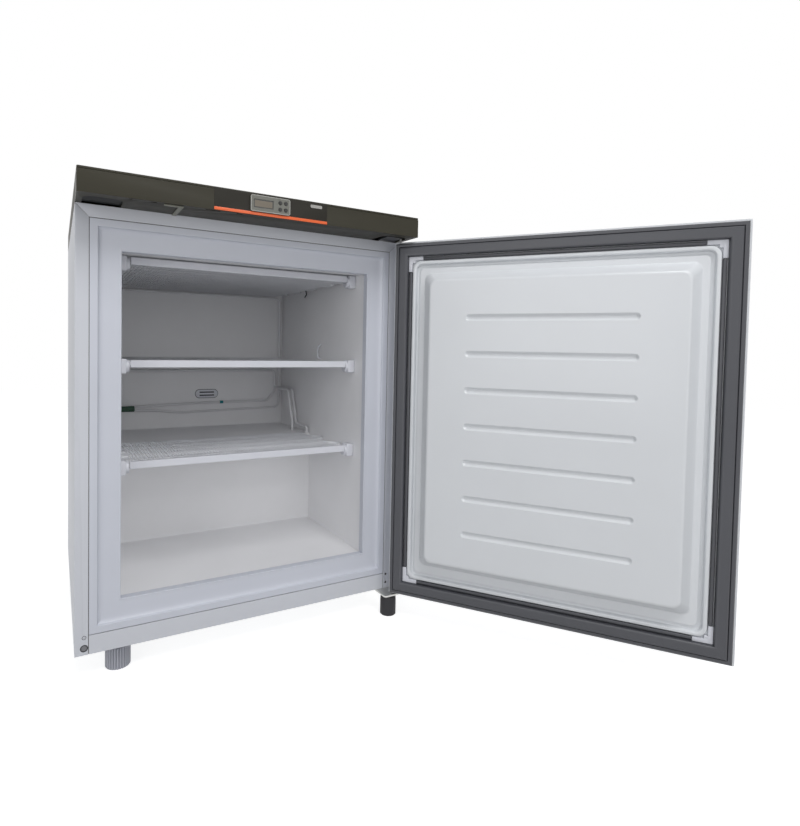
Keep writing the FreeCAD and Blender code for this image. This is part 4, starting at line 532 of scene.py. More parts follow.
# The upper plate takes the dark bolt finish, not bright zinc: painted shade under the lid.
softened("upper_hinge_bracket", "cabinet", bolt_and_hinge_shade_finish, 0.5 * mm)
for node in ("lower_hinge_pin", "upper_hinge_pin"):
    low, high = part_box(node)
    centre = (low + high) / 2.0
    length = high.z - low.z
    upwards = 1.0 if node == "lower_hinge_pin" else -1.0
    start = low.z if upwards > 0 else high.z
    pin_bm = bmesh.new()
    turned(pin_bm, (
        (0.0, 0.0), (pin_head_radius * 0.7, 0.0), (pin_head_radius, pin_head * 0.5),
        (pin_head_radius, pin_head), (pin_radius, pin_head), (pin_radius, length - pin_chamfer),
        (pin_radius - pin_chamfer, length), (0.0, length),
    ), pointing((0, 0, upwards), (centre.x, centre.y, start)))
    finished(pin_bm, node + "_finished", "cabinet", zinc_plate, (node,))
softened("hinge_screws", "cabinet", zinc_plate, 0.5 * mm)

shadow_skin = surface("shadow_gap", painted_shadow_tone, 0.7, grain=500.0, relief=0.02, mottle=0.05)
plug_low, plug_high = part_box("flange_plugs")
plug_x = (plug_low.x + plug_high.x) / 2.0
plug_y = plug_low.y
plug_bm = bmesh.new()
turned(plug_bm, [(across * mm, height * mm) for across, height in plug_section],
       pointing((0, -1, 0), (plug_x, plug_y, plug_z)))
finished(plug_bm, "hole_plug", "cabinet", panel_paint, ("flange_plugs",))
bolt_bm = bmesh.new()
bmesh.ops.create_circle(bolt_bm, cap_ends=True, radius=bolt_radius, segments=6)
head = bmesh.ops.extrude_face_region(bolt_bm, geom=bolt_bm.faces[:])["geom"]
head_corners = [g for g in head if isinstance(g, bmesh.types.BMVert)]
bmesh.ops.translate(bolt_bm, vec=(0, 0, -bolt_height), verts=head_corners)
crown = [f for f in bolt_bm.faces if abs(f.calc_center_median().z) < 0.1 * mm]
bmesh.ops.inset_region(bolt_bm, faces=crown, thickness=bolt_land, depth=0.0)
outer_ring = [v for v in bolt_bm.verts if v.co.z > -0.1 * mm and v.co.length > bolt_radius - 0.3 * mm]
bmesh.ops.translate(bolt_bm, vec=(0, 0, -bolt_chamfer), verts=outer_ring)
bmesh.ops.recalc_face_normals(bolt_bm, faces=bolt_bm.faces)
bmesh.ops.transform(bolt_bm, matrix=pointing((0, -1, 0), (plug_x, plug_y, bolt_z)), verts=bolt_bm.verts)
finished(bolt_bm, "hole_bolt", "cabinet", bolt_and_hinge_shade_finish)
# Near-black discs behind the plug and the bolt: painted shadow in the gaps round them.
shadow_disc_bm = bmesh.new()
for radius, z in ((plug_shadow_radius, plug_z), (bolt_shadow_radius, bolt_z)):
    turned(shadow_disc_bm, ((0.0, shadow_disc_back), (radius, shadow_disc_back), (radius, shadow_disc_front), (0.0, shadow_disc_front)),
           pointing((0, -1, 0), (plug_x, plug_y, z)))
finished(shadow_disc_bm, "plug_painted_shadows", "cabinet", shadow_skin)
softened("foot_nut", "cabinet", zinc_plate, 0.3 * mm)
softened("door_bushes", "door", bush_skin, 0.0)

# Feet
# The front left foot is a ribbed grey plastic wheel on a threaded stud, turned to level the
# cabinet; under the lower hinge plate stands a short black one. The rear feet are plain.
foot_colour = (0.42, 0.43, 0.48)
rubber_colour = (0.012, 0.011, 0.014)
foot_ribs = 28
foot_radius = 20.5 * mm
foot_rib_depth = 2.2 * mm
foot_swell = 1.06
foot_tread = 0.94
foot_levels = ((1.5, foot_swell), (3.0, 1.0), (34.5, 1.0), (36.6, 0.95), (37.0, 0.90))
collar_radius = 13.0 * mm
collar_low = 36.9 * mm
collar_high = 40.0 * mm
collar_round = 0.6 * mm
stud_radius = 5.0 * mm
stud_chamfer = 0.8 * mm
black_foot_bore = 3.1 * mm

foot_skin = surface("grey_foot_plastic", foot_colour, 0.5, grain=600.0, relief=0.08, mottle=0.04)
rubber_skin = surface("black_rubber", rubber_colour, 0.6, grain=500.0, relief=0.12, mottle=0.08)
low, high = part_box("front_left_foot")
foot_x = (low.x + high.x) / 2.0
foot_y = (low.y + high.y) / 2.0
foot_bm = bmesh.new()
rim = bmesh.ops.create_circle(foot_bm, cap_ends=True, radius=foot_radius, segments=foot_ribs * 4)["verts"]
for count, corner in enumerate(rim):
    if count % 4 == 0:
        factor = (foot_radius - foot_rib_depth) / foot_radius
        corner.co.x *= factor
        corner.co.y *= factor
whole = foot_bm.faces[:]
for height, scale in foot_levels:
    grown = bmesh.ops.extrude_face_region(foot_bm, geom=whole)
    fresh = [v for v in grown["geom"] if isinstance(v, bmesh.types.BMVert)]
    whole = [f for f in grown["geom"] if isinstance(f, bmesh.types.BMFace)]
    for corner in fresh:
        corner.co.x *= scale
        corner.co.y *= scale
        corner.co.z = height * mm
bottom = [v for v in foot_bm.verts if v.co.z < 0.1 * mm]
bmesh.ops.scale(foot_bm, vec=(foot_tread, foot_tread, 1.0), verts=bottom)
widest = [v for v in foot_bm.verts if 1.0 * mm < v.co.z < 36.0 * mm]
bmesh.ops.scale(foot_bm, vec=(1.0 / foot_swell, 1.0 / foot_swell, 1.0), verts=widest)
bmesh.ops.recalc_face_normals(foot_bm, faces=foot_bm.faces)
bmesh.ops.translate(foot_bm, vec=(foot_x, foot_y, 0.0), verts=foot_bm.verts)
for v in foot_bm.verts:
    v.tag = True
turned(foot_bm, (
    (0.0, collar_low), (collar_radius, collar_low), (collar_radius, collar_high - collar_round),
    (collar_radius - collar_round, collar_high), (stud_radius, collar_high),
    (stud_radius, high.z - stud_chamfer), (stud_radius - stud_chamfer, high.z), (0.0, high.z),
), Matrix.Translation((foot_x, foot_y, 0.0)))
finished(foot_bm, "front_left_foot_finished", "left_foot", foot_skin, ("front_left_foot",),
         smooth_up_to=12.0)

low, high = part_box("front_right_foot")
centre = (low + high) / 2.0
radius = (high.x - low.x) / 2.0
black_bm = bmesh.new()
turned(black_bm, (
    (0.0, 0.0), (radius - 1.6 * mm, 0.0), (radius, 1.6 * mm), (radius, 30.0 * mm),
    (radius - 0.5 * mm, 37.0 * mm), (radius - 2.0 * mm, 39.6 * mm), (radius - 4.2 * mm, high.z),
    (black_foot_bore, high.z), (black_foot_bore, 23.0 * mm), (0.0, 22.5 * mm),
), Matrix.Translation((centre.x, centre.y, 0.0)), 40)
finished(black_bm, "front_right_foot_finished", "right_foot", rubber_skin, ("front_right_foot",))

rear_low, rear_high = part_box("rear_feet")
rear_bm = bmesh.new()
rear_radius = (rear_high.y - rear_low.y) / 2.0
for x in (rear_low.x + rear_radius, rear_high.x - rear_radius):
    turned(rear_bm, (
        (0.0, 0.0), (rear_radius - 1.2 * mm, 0.0), (rear_radius, 1.2 * mm), (rear_radius * 0.9, 30.0 * mm),
        (rear_radius * 0.85, rear_high.z), (0.0, rear_high.z),
    ), Matrix.Translation((x, (rear_low.y + rear_high.y) / 2.0, 0.0)))
finished(rear_bm, "rear_feet_finished", "cabinet", rubber_skin, ("rear_feet",))

# Refrigerated shelves
# Each shelf is one bent steel tube that carries the refrigerant, with thin steel wires
# welded across it above and below, all coated white; a plastic bar covers the front ends.
coated_steel = (0.80, 0.81, 0.84)
bar_colour = (0.66, 0.67, 0.72)
tube_radius = 3.6 * mm
first_run_y = -174.0 * mm
wire_front_y = -210.5 * mm
wire_radius = 0.95 * mm
wire_pitch = 6.2 * mm
wire_span = 205.2 * mm
wall_x = 233.6 * mm
side_gap = 5.2 * mm
wire_sink = 0.75
wire_over_tube = 0.8

tube_skin = surface("white_coated_tube", coated_steel, 0.35, grain=300.0, relief=0.08, mottle=0.03)
bar_skin = surface("white_bar_plastic", bar_colour, 0.36, grain=700.0, relief=0.03, mottle=0.015)


def bent_rod(bm, corners, radius, bend, sides=12, steps=6):
    """A round rod along straight runs, drawn round a bend at each corner: one radius, or one for each."""
    points = [Vector(c) for c in corners]
    heading = (points[1] - points[0]).normalized()
    ring = bmesh.ops.create_circle(bm, cap_ends=True, radius=radius, segments=sides,
                                   matrix=pointing(heading, points[0]))["verts"]
    loop = list({line for v in ring for line in v.link_edges})
    here = points[0]
    for i in range(1, len(points)):
        incoming = (points[i] - points[i - 1]).normalized()
        stop = points[i]
        last = i == len(points) - 1
        if not last:
            outgoing = (points[i + 1] - points[i]).normalized()
            turn = incoming.angle(outgoing)
            bend_here = bend if isinstance(bend, float) else bend[i - 1]
            reach = bend_here * math.tan(turn / 2.0)
            stop = points[i] - incoming * reach
        if (stop - here).length > weld_gap:
            fresh, loop = grown_ring(bm, loop)
            bmesh.ops.translate(bm, vec=stop - here, verts=list(fresh))
        if not last:
            side = (outgoing - incoming * incoming.dot(outgoing)).normalized()
            axis = incoming.cross(outgoing).normalized()
            spun = bmesh.ops.spin(bm, geom=loop, cent=stop + side * bend_here, axis=axis, angle=turn,
                                  steps=steps, use_merge=False)["geom_last"]
            loop = [g for g in spun if isinstance(g, bmesh.types.BMEdge)]
            here = points[i] + outgoing * reach
    bmesh.ops.contextual_create(bm, geom=loop)


def snaking(rows, pitch, run_half, first_side, first, level):
    """Corner points of a level tube that runs to and fro across the cabinet."""
    side = first_side
    along = first
    reach = run_half + pitch / 2.0
    points = []
    for row in range(rows - 1):
        side = -side
        points.append((side * reach, along, level))
        along = along + pitch
        points.append((side * reach, along, level))
    points.append((-side * run_half, along, level))
    return points


for node, rows, first_side in (("evaporator_shelf_lower", 5, -1), ("evaporator_shelf_middle", 9, 1),
                               ("evaporator_shelf_upper", 9, 1)):
    low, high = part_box(node)
    level = low.z + tube_radius
    last_y = high.y - tube_radius
    pitch = (last_y - first_run_y) / (rows - 1)
    run_half = wall_x - side_gap - pitch / 2.0
    corners = snaking(rows, pitch, run_half, first_side, first_run_y, level)
    shelf_bm = bmesh.new()
    bent_rod(shelf_bm, [(first_side * wall_x, first_run_y, level)] + corners, tube_radius, pitch / 2.0)
    wires = round(2.0 * wire_span / wire_pitch)
    wire_back_y = last_y + tube_radius * wire_over_tube
    for i in range(wires + 1):
        x = 2.0 * wire_span * i / wires - wire_span
        for side in (-1.0, 1.0):
            z = level + side * (tube_radius + wire_radius * wire_sink)
            bent_rod(shelf_bm, ((x, wire_front_y, z), (x, wire_back_y, z)), wire_radius, 0.0, 6)
    bmesh.ops.recalc_face_normals(shelf_bm, faces=shelf_bm.faces)
    finished(shelf_bm, node + "_finished", "cabinet", tube_skin, (node,))

softened("shelf_trim_bars", "cabinet", bar_skin, 1.2 * mm)

# Shelf clips
# Six white moulded blocks are screwed to the liner's walls; each has a hollow round boss
# that takes the end of a shelf's front bar.
clip_block = Vector((16.0 * mm, 24.0 * mm, 26.0 * mm))
boss_radius = 11.2 * mm
boss_bore = 3.2 * mm
boss_length = 5.0 * mm
boss_rise = 13.0 * mm
boss_round = 0.8 * mm
boss_rim = 0.5 * mm
boss_floor = 0.6 * mm
clip_round = 2.2 * mm


def joined(bm, other):
    """One mesh added to another."""
    carrier = bpy.data.meshes.new("carrier")
    other.to_mesh(carrier)
    other.free()
    bm.from_mesh(carrier)
    bpy.data.meshes.remove(carrier)


clips_low, clips_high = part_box("shelf_clips")
clip_step = (clips_high.z - clips_low.z - clip_block.z) / 2.0
clips_bm = bmesh.new()
for level in range(3):
    z0 = clips_low.z + clip_step * level
    for side in (-1.0, 1.0):
        outer = side * clips_high.x
        inner = outer - side * clip_block.x
        block = bmesh.new()
        slab(block, (min(outer, inner), clips_low.y, z0),
             (max(outer, inner), clips_high.y, z0 + clip_block.z))
        rounded(block, block.edges, clip_round, steps=4)
        joined(clips_bm, block)
        for v in clips_bm.verts:
            v.tag = True
        middle = (inner, clips_low.y + boss_radius + 0.6 * mm, z0 + boss_rise)
        turned(clips_bm, (
            (boss_radius, -2.0 * mm), (boss_radius, boss_length - boss_round),
            (boss_radius - boss_round, boss_length), (boss_bore + boss_rim, boss_length),
            (boss_bore, boss_length - boss_rim), (boss_bore, boss_floor), (0.0, boss_floor),
        ), pointing((-side, 0, 0), middle), 28)
finished(clips_bm, "shelf_clips_finished", "cabinet", bar_skin, ("shelf_clips",))

# Riser pipes
# Coated pipes join the shelves on the back wall, one with a ring of tape round it; a pair runs
# over the ledge to the lowest shelf, and a green sleeve holds two where they leave the wall.
# Beside them a slotted sensor cover, a wire hook and a loop are fixed to the liner.
pipe_colour = (0.72, 0.72, 0.74)
sleeve_colour = (0.030, 0.085, 0.050)
tape_colour = (0.02, 0.22, 0.25)
pipe_radius = 3.2 * mm
shelf_end_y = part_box("evaporator_shelf_upper")[1].y - tube_radius
lower_end_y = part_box("evaporator_shelf_lower")[1].y - tube_radius
top_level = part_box("evaporator_shelf_upper")[0].z + tube_radius
middle_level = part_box("evaporator_shelf_middle")[0].z + tube_radius
low_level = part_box("evaporator_shelf_lower")[0].z + tube_radius
ledge = 338.0 * mm
wall_y = 216.0 * mm
outer_x = 224.0 * mm
inner_x = 212.0 * mm
run_end_x = 205.0 * mm
step_back = (wall_y - shelf_end_y) / 2.0
sleeve_x = -188.0 * mm
sleeve_y = wall_y - 4.6 * mm
step_x = -run_end_x - step_back
top_run_z = top_level - 9.0 * mm
top_bends = (5.5 * mm, 5.5 * mm, 14.0 * mm, 14.0 * mm, 60.0 * mm, 60.0 * mm)
middle_run_x = -run_end_x - 14.0 * mm
middle_run_z = 486.0 * mm
middle_low_z = 402.0 * mm
middle_bends = (5.5 * mm, 5.5 * mm, 12.0 * mm, 14.0 * mm, 16.0 * mm, 60.0 * mm)
pair_low_z = 353.0 * mm
outer_bends = (6.0 * mm, 6.0 * mm, 6.0 * mm, 12.0 * mm)
inner_bends = (14.0 * mm, 10.0 * mm)
lean_low_y = 82.0 * mm
lean_high_y = 116.0 * mm
fork_z = 439.0 * mm
tape_radius = 3.7 * mm
tape_length = 9.0 * mm
tape_x = 58.0 * mm
sleeve_growth = 20.0 * mm
slot_half = 19.0 * mm
slot_rise = 1.7 * mm
slot_gap = 8.0 * mm
slot_proud = 0.05 * mm
slot_deep = 0.5 * mm
hook_path = ((0.0, 36.0, 699.0), (-9.0, 36.0, 699.0), (-9.0, 30.0, 684.0), (-9.0, 40.0, 678.0))
loop_path = ((0.0, -40.0, 524.0), (-8.0, -40.0, 530.0), (-8.0, -40.0, 552.0), (0.0, -40.0, 560.0))

pipe_skin = surface("coated_pipe", pipe_colour, 0.3, grain=300.0, relief=0.06, mottle=0.04)
sleeve_skin = surface("green_sleeve", sleeve_colour, 0.5, grain=350.0, relief=0.3, mottle=0.25,
                      cloud=160.0)
mark_skin = surface("blue_green_tape", tape_colour, 0.45, grain=500.0, relief=0.05, mottle=0.05)
pipes_bm = bmesh.new()
bent_rod(pipes_bm, (
    (-run_end_x, shelf_end_y, top_level), (step_x, shelf_end_y, top_level), (step_x, wall_y, top_run_z),
    (outer_x, wall_y, top_run_z), (outer_x, wall_y, 384.0 * mm), (-40.0 * mm, wall_y, 378.0 * mm),
    (-110.0 * mm, wall_y, 386.0 * mm), (sleeve_x, sleeve_y, 388.0 * mm),
), pipe_radius, top_bends)
bent_rod(pipes_bm, (
    (-run_end_x, shelf_end_y, middle_level), (middle_run_x, shelf_end_y, middle_level),
    (middle_run_x, wall_y, middle_run_z), (inner_x, wall_y, middle_run_z), (inner_x, wall_y, 430.0 * mm),
    (inner_x - 22.0 * mm, wall_y, middle_low_z), (20.0 * mm, wall_y, middle_low_z),
    (sleeve_x, sleeve_y, 396.0 * mm),
), pipe_radius, middle_bends)
bent_rod(pipes_bm, (
    (run_end_x, lower_end_y, low_level), (outer_x, lower_end_y, low_level),
    (outer_x, lower_end_y, pair_low_z), (outer_x, lean_low_y, pair_low_z),
    (outer_x, lean_high_y, fork_z), (outer_x, wall_y, fork_z),
), pipe_radius, outer_bends)
bent_rod(pipes_bm, (
    (inner_x, wall_y, fork_z), (inner_x, lean_high_y, fork_z), (inner_x, lean_low_y, 359.0 * mm),
    (inner_x, lean_low_y, ledge),
), pipe_radius, inner_bends)
bmesh.ops.recalc_face_normals(pipes_bm, faces=pipes_bm.faces)
finished(pipes_bm, "riser_tubes_finished", "cabinet", pipe_skin, ("riser_tubes",))

tape_bm = bmesh.new()
turned(tape_bm, ((0.0, 0.0), (tape_radius, 0.0), (tape_radius, tape_length), (0.0, tape_length)),
       pointing((1, 0, 0), (tape_x, wall_y, middle_low_z)), 16)
finished(tape_bm, "pipe_tape", "cabinet", mark_skin)

sleeve_low, sleeve_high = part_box("pipe_sleeve")
sleeve_length = sleeve_high.x - sleeve_low.x + sleeve_growth
sleeve_radius = (sleeve_high.z - sleeve_low.z) / 2.0
sleeve_middle = (sleeve_low + sleeve_high) / 2.0
sleeve_bm = bmesh.new()
turned(sleeve_bm, (
    (0.0, 0.0), (sleeve_radius * 0.8, 0.0), (sleeve_radius * 0.95, 1.5 * mm),
    (sleeve_radius * 0.88, 7.0 * mm), (sleeve_radius, 13.0 * mm), (sleeve_radius * 0.9, 19.0 * mm),
    (sleeve_radius * 0.95, sleeve_length - 1.5 * mm), (sleeve_radius * 0.75, sleeve_length),
    (0.0, sleeve_length),
), pointing((1, 0, 0), (sleeve_low.x, sleeve_middle.y, sleeve_middle.z)))
finished(sleeve_bm, "pipe_sleeve_finished", "cabinet", sleeve_skin, ("pipe_sleeve",))

cover_low, cover_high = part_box("sensor_cover")
cover_half = (cover_high.x - cover_low.x) / 2.0
cover_rise = (cover_high.z - cover_low.z) / 2.0
cover_centre = (cover_low + cover_high) / 2.0
# A near-black ring behind the cover's edge and near-black slabs in its two slots are painted shade.
for name, finish, steps, nodes in (
    ("sensor_cover_finished", bar_skin, ((0.0, 0.0), (0.0, 2.0), (0.3, 2.7), (1.0, 3.0)), ("sensor_cover",)),
    ("sensor_cover_painted_shadow", shadow_skin, ((-1.3, 0.0), (-1.3, 0.4)), ()),
):
    cover_bm = bmesh.new()
    rings = []
    for inset, proud in steps:
        half = cover_half - inset * mm
        rise = cover_rise - inset * mm
        rings.append((half, -rise, rise, cover_high.y - proud * mm, rise * 0.99))
    back_lines, face_lines = drawn_rings(cover_bm, rings)
    bmesh.ops.contextual_create(cover_bm, geom=back_lines)
    bmesh.ops.contextual_create(cover_bm, geom=face_lines)
    bmesh.ops.recalc_face_normals(cover_bm, faces=cover_bm.faces)
    bmesh.ops.translate(cover_bm, vec=(cover_centre.x, 0.0, cover_centre.z), verts=cover_bm.verts)
    finished(cover_bm, name, "cabinet", finish, nodes)
slot_shadow_bm = bmesh.new()
for side in (-1.0, 1.0):
    z = cover_centre.z + side * slot_gap / 2.0
    slab(slot_shadow_bm, (cover_centre.x - slot_half, cover_low.y - slot_proud, z - slot_rise),
         (cover_centre.x + slot_half, cover_low.y + slot_deep, z + slot_rise))
finished(slot_shadow_bm, "sensor_slot_shadows", "cabinet", shadow_skin)

for name, path, radius, bend, steps, finish in (
    ("sensor_hook", hook_path, 1.5 * mm, 2.5 * mm, 3, shadow_skin),
    ("wall_loop", loop_path, 1.6 * mm, 6.0 * mm, 4, bar_skin),
):
    rod_bm = bmesh.new()
    bent_rod(rod_bm, [(wall_x + x * mm, y * mm, z * mm) for x, y, z in path], radius, bend, 8, steps)
    bmesh.ops.recalc_face_normals(rod_bm, faces=rod_bm.faces)
    finished(rod_bm, name, "cabinet", finish)

# Refrigeration unit
# A black-painted hermetic compressor stands on rubber mounts on a galvanised plate in the
# rear bay, with copper pipes, a filter drier and a black wire-on-tube condenser behind.
copper_colour = (0.55, 0.26, 0.15)
black_enamel = (0.014, 0.014, 0.016)
condenser_radius = 2.6 * mm
condenser_wire_radius = 0.8 * mm
condenser_wires = 44

enamel_skin = surface("black_enamel", black_enamel, 0.32, grain=500.0, relief=0.08, mottle=0.06)
copper_skin = surface("drawn_copper", copper_colour, 0.3, grain=250.0, relief=0.05, mottle=0.12,
                      metallic=1.0)
for node, finish, edge in (
    ("compressor_plate", zinc_sheet, 0.4), ("compressor_grommets", rubber_skin, 0.8),
    ("terminal_cover", case_skin, 1.5), ("cable_gland", case_skin, 0.5), ("bay_pipes", copper_skin, 0.0),
):
    softened(node, "cabinet", finish, edge * mm)

can_low, can_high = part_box("compressor")
can_x = (can_low.x + can_high.x) / 2.0
can_y = (can_low.y + can_high.y) / 2.0
can_base = can_low.z
can_radius = 74.0 * mm
seam = can_base + 62.0 * mm
foot_plate = 3.0 * mm
can_shoulder = can_radius * 0.42
can_foot_round = can_radius * 0.25
seam_rim = 4.0 * mm
rail_apart = 60.0 * mm
rail_half = 13.0 * mm
can_bm = bmesh.new()
shell_base = can_base + foot_plate
shell = [(0.0, shell_base), (can_radius * 0.80, shell_base)]
for i in range(1, 6):
    angle = math.radians(18.0 * i)
    shell.append((can_radius * (0.80 + 0.20 * math.sin(angle)),
                  shell_base + can_foot_round * (1.0 - math.cos(angle))))
shell += [
    (can_radius, seam - 0.5 * mm), (can_radius + seam_rim, seam), (can_radius + seam_rim, seam + 4.0 * mm),
    (can_radius, seam + 4.5 * mm), (can_radius, can_high.z - can_shoulder),
]
for i in range(1, 8):
    angle = math.radians(90.0 * i / 7.0)
    shell.append((can_radius * (0.50 + 0.50 * math.cos(angle)),
                  can_high.z - can_shoulder * (1.0 - math.sin(angle))))
shell.append((0.0, can_high.z))
turned(can_bm, shell, Matrix.Translation((can_x, can_y, 0.0)), 56)
for dy in (-rail_apart, rail_apart):
    slab(can_bm, (can_low.x, can_y + dy - rail_half, can_base),
         (can_high.x, can_y + dy + rail_half, shell_base))
finished(can_bm, "compressor_finished", "cabinet", enamel_skin, ("compressor",))

coil_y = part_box("condenser")[1].y - 1.6 * mm - condenser_radius
coil_half = 240.0 * mm
coil_bottom = 330.0 * mm
coil_rows = 7
coil_pitch = 58.0 * mm
coil_tail = 312.0 * mm
coil_start = 16.0 * mm
coil_bend = 12.0 * mm
coil_wire_inset = 29.0 * mm
coil_wire_past = 10.0 * mm
stand_y = 270.0 * mm
stand_half = 7.0 * mm
stand_rise = 5.0 * mm
coil_bm = bmesh.new()
points = [(-coil_half + coil_start, coil_y, coil_tail), (-coil_half + coil_start, coil_y, coil_bottom)]
height = coil_bottom
side = 1.0
for row in range(coil_rows - 1):
    points.append((side * coil_half, coil_y, height))
    height = height + coil_pitch
    points.append((side * coil_half, coil_y, height))
    side = -side
points.append((coil_half + coil_start, coil_y, height))
points.append((coil_half + coil_start, coil_y, coil_tail))
bent_rod(coil_bm, points, condenser_radius, coil_bend, 10, 4)
for i in range(condenser_wires):
    x = (coil_half - coil_wire_inset) * (2.0 * i / (condenser_wires - 1) - 1.0)
    for side in (-1.0, 1.0):
        y = coil_y + side * (condenser_radius + condenser_wire_radius * wire_sink)
        ends = ((x, y, coil_bottom - coil_wire_past), (x, y, height + coil_wire_past))
        bent_rod(coil_bm, ends, condenser_wire_radius, 0.0, 6)
bmesh.ops.recalc_face_normals(coil_bm, faces=coil_bm.faces)
for x in (-coil_half * 0.8, coil_half * 0.8):
    for row in (1, coil_rows - 2):
        z = coil_bottom + coil_pitch * row
        slab(coil_bm, (x - stand_half, stand_y, z - stand_rise), (x + stand_half, coil_y, z + stand_rise))
finished(coil_bm, "condenser_finished", "cabinet", enamel_skin, ("condenser",))

# Door shell
# A folded white steel skin closed by plastic end strips hangs on the right and stands open,
# with a finger cup let into its free edge. Rigid foam fills it behind the liner.
door_joint = [j for j in frame["record"]["behaviour"]["joints"] if j["name"] == "door_hinge"][0]
hinge_line = Vector(door_joint["pos_m"])
open_angle = math.radians(door_joint["range_deg"][1])
foam_share = 0.92

softened("door_skin", "door", panel_paint, 0.35 * mm)
softened("door_end_caps", "door", bar_skin, 0.6 * mm)
softened("grip_cup", "door", bar_skin, 0.4 * mm)


def swung(bm, angle):
    """A piece turned about the hinge line; open_angle takes it from shut to open."""
    about = Matrix.Translation(hinge_line) @ Matrix.Rotation(angle, 4, "Z")
    bmesh.ops.transform(bm, matrix=about @ Matrix.Translation(-hinge_line), verts=bm.verts)


# The door's foam takes the same dark grey, painted shade where it shows in gaps.
foam_bm = merged_faces("door_foam")
swung(foam_bm, -open_angle)
foam_back = min(v.co.y for v in foam_bm.verts)
for v in foam_bm.verts:
    v.co.y = foam_back + (v.co.y - foam_back) * foam_share
swung(foam_bm, open_angle)
finished(foam_bm, "door_foam_finished", "door", foam_seam_shade_finish, ("door_foam",))

# Door liner
# One sheet of white plastic drawn over a mould: a flat rim, a rounded bead, a channel, and
# a raised field with sloping sides and seven pressed grooves. It is shown as the door hangs.
door_liner_colour = (0.70, 0.72, 0.745)
door_half = 299.5 * mm
door_bottom = 48.4 * mm
door_top = 767.0 * mm
liner_face = -283.0 * mm
field_low_extra = 6.0 * mm
groove_count = 7
groove_pitch = 68.5 * mm
field_height = 27.0 * mm
field_from = 56.0
groove_half = 146.0 * mm
groove_width = 12.0 * mm
groove_lip = 0.9 * mm
groove_steps = ((0.0, 0.0), (0.5, 0.0), (1.2, -0.4), (3.2, -2.4), (4.6, -3.8), (5.4, -4.2), (6.4, -4.3))
liner_section = (
    (0.2, -3.0, 3.0), (0.2, -0.4, 3.0), (0.6, 0.0, 3.0), (38.6, 0.0, 16.0), (39.2, 0.8, 16.0),
    (39.7, 3.4, 16.0), (40.7, 5.3, 15.0), (42.4, 6.0, 14.0), (44.6, 6.0, 13.0), (46.2, 5.3, 12.0),
    (47.2, 3.4, 11.0), (47.7, 0.2, 10.0), (48.0, -2.0, 9.5), (48.8, -2.6, 9.0), (52.8, -2.6, 8.0),
    (53.6, -2.0, 8.0), (53.9, 0.3, 8.0), (54.7, 1.0, 8.0), (63.8, 1.0, 13.0), (65.2, 1.6, 14.0),
    (66.4, 3.4, 14.0), (79.2, 22.4, 14.0), (80.4, 24.6, 14.0), (82.2, 26.3, 14.0), (84.6, 27.0, 14.0),
    (86.0, 27.0, 13.6),
)

liner_plastic = surface("door_liner_plastic", door_liner_colour, 0.24, grain=600.0, relief=0.05, mottle=0.01)
liner_bm = bmesh.new()
rings = []
for inset, height, corner in with_supports(liner_section, margin=0.6, least=5.0):
    low_extra = field_low_extra if inset > field_from else 0.0
    rings.append((door_half - inset * mm, door_bottom + inset * mm + low_extra, door_top - inset * mm,
                  liner_face + height * mm, corner * mm))
rim_lines, field_lines = drawn_rings(liner_bm, rings)
bmesh.ops.contextual_create(liner_bm, geom=rim_lines)
field_y = liner_face + field_height
for i in range(groove_count):
    z = (door_bottom + door_top) / 2.0 + groove_pitch * (i - (groove_count - 1) / 2.0)
    rings = []
    for shrink, depth in groove_steps:
        half = groove_half + groove_lip - shrink * mm
        rise = groove_width / 2.0 + groove_lip - shrink * mm
        rings.append((half, z - rise, z + rise, field_y + depth * mm, rise * 0.995))
    groove_rim, groove_floor = drawn_rings(liner_bm, rings, arc=6)
    field_lines = field_lines + groove_rim
    bmesh.ops.contextual_create(liner_bm, geom=groove_floor)
bmesh.ops.triangle_fill(liner_bm, use_beauty=True, use_dissolve=False, edges=field_lines, normal=(0, 1, 0))
bmesh.ops.recalc_face_normals(liner_bm, faces=liner_bm.faces)
swung(liner_bm, open_angle)
finished(liner_bm, "door_liner_finished", "door", liner_plastic, ("door_liner",), smooth_up_to=38.0)

# Door seal
# A dark grey soft vinyl gasket, welded at the four mitred corners, has two lobes over a
# magnetic strip. Short second lips lie inside it and stop at the white corner blocks, where
# small white infills close the corners of the liner's rim.
gasket_colour = (0.062, 0.064, 0.074)
gasket_inset = 4.2 * mm
gasket_section = (
    (0.0, 0.0), (0.0, 5.5), (0.7, 8.2), (2.2, 9.6), (5.2, 9.7), (6.6, 9.2), (7.3, 8.2), (7.7, 7.2),
    (8.1, 8.6), (8.6, 10.9), (9.8, 12.1), (11.4, 12.3), (21.8, 12.3), (24.2, 11.7), (25.8, 10.3),
    (26.6, 8.2), (26.8, 5.0), (26.8, 0.0),
)
lip_outer = 32.6 * mm
lip_inner = 38.6 * mm
lip_stop = 61.2 * mm
lip_height = 5.5 * mm
lip_round = 1.6 * mm
left_x = -door_half
infill_outer = 33.2 * mm
infill_inner = 44.0 * mm
infill_height = 4.4 * mm
infill_lift = 0.1 * mm
infill_round = 1.0 * mm

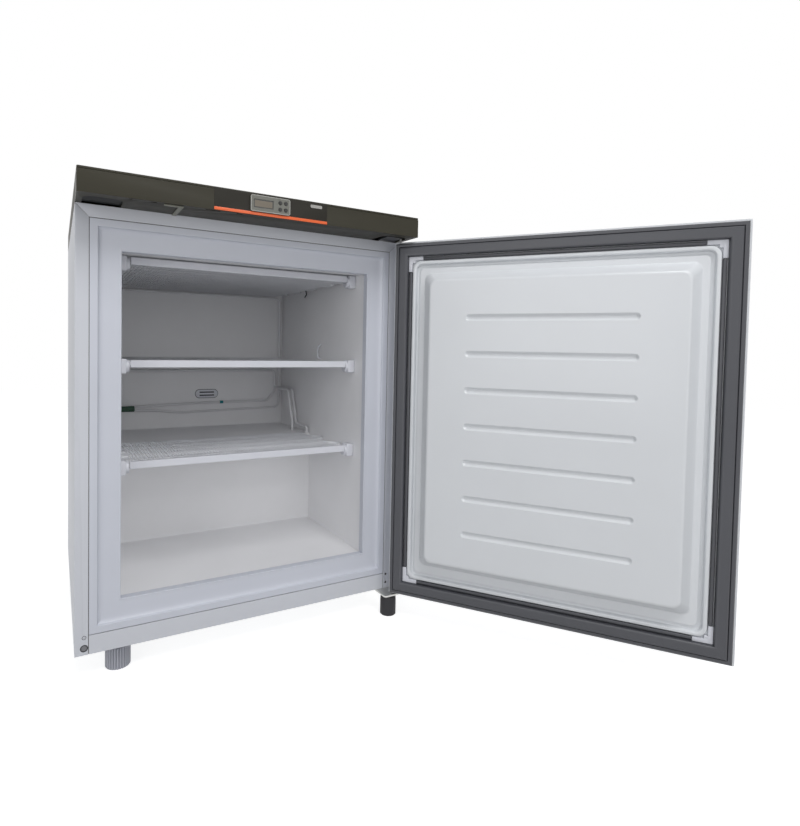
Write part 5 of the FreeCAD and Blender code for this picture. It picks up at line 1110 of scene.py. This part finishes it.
gasket_skin = surface("soft_grey_vinyl", gasket_colour, 0.36, grain=350.0, relief=0.05, mottle=0.05)
gasket_bm = bmesh.new()
profile = with_supports(gasket_section, margin=0.5, least=6.5)
middle_z = (door_bottom + door_top) / 2.0
right_x = door_half - gasket_inset
low_z = door_bottom + gasket_inset
high_z = door_top - gasket_inset
outline = []
for x, z in ((-right_x, low_z), (right_x, low_z), (right_x, high_z), (-right_x, high_z)):
    outline.append(gasket_bm.verts.new((x, liner_face, z)))
lines = [gasket_bm.edges.new((outline[i - 1], outline[i])) for i in range(4)]
for first, second in zip(profile, profile[1:]):
    fresh, lines = grown_ring(gasket_bm, lines)
    inwards = (second[0] - first[0]) * mm
    for corner in fresh:
        corner.co.x -= math.copysign(inwards, corner.co.x)
        corner.co.z -= math.copysign(inwards, corner.co.z - middle_z)
        corner.co.y += (second[1] - first[1]) * mm
bmesh.ops.recalc_face_normals(gasket_bm, faces=gasket_bm.faces)
lips_bm = bmesh.new()
for x0, x1, z0, z1 in (
    (left_x + lip_outer, left_x + lip_inner, door_bottom + lip_stop, door_top - lip_stop),
    (door_half - lip_inner, door_half - lip_outer, door_bottom + lip_stop, door_top - lip_stop),
    (left_x + lip_stop, door_half - lip_stop, door_bottom + lip_outer, door_bottom + lip_inner),
    (left_x + lip_stop, door_half - lip_stop, door_top - lip_inner, door_top - lip_outer),
):
    slab(lips_bm, (x0, liner_face, z0), (x1, liner_face + lip_height, z1))
rounded(lips_bm, lips_bm.edges, lip_round, steps=3)
joined(gasket_bm, lips_bm)
swung(gasket_bm, open_angle)
finished(gasket_bm, "door_gasket_finished", "door", gasket_skin, ("door_gasket",), smooth_up_to=32.0)
softened("corner_blocks", "door", bar_skin, 0.8 * mm)
infill_bm = bmesh.new()
for side in (-1.0, 1.0):
    x0, x1 = sorted((side * (door_half - infill_outer), side * (door_half - infill_inner)))
    for z0, z1 in ((door_bottom + infill_outer, door_bottom + infill_inner),
                   (door_top - infill_inner, door_top - infill_outer)):
        slab(infill_bm, (x0, liner_face + infill_lift, z0), (x1, liner_face + infill_height, z1))
rounded(infill_bm, infill_bm.edges, infill_round, steps=3)
swung(infill_bm, open_angle)
finished(infill_bm, "corner_infills", "door", bar_skin)
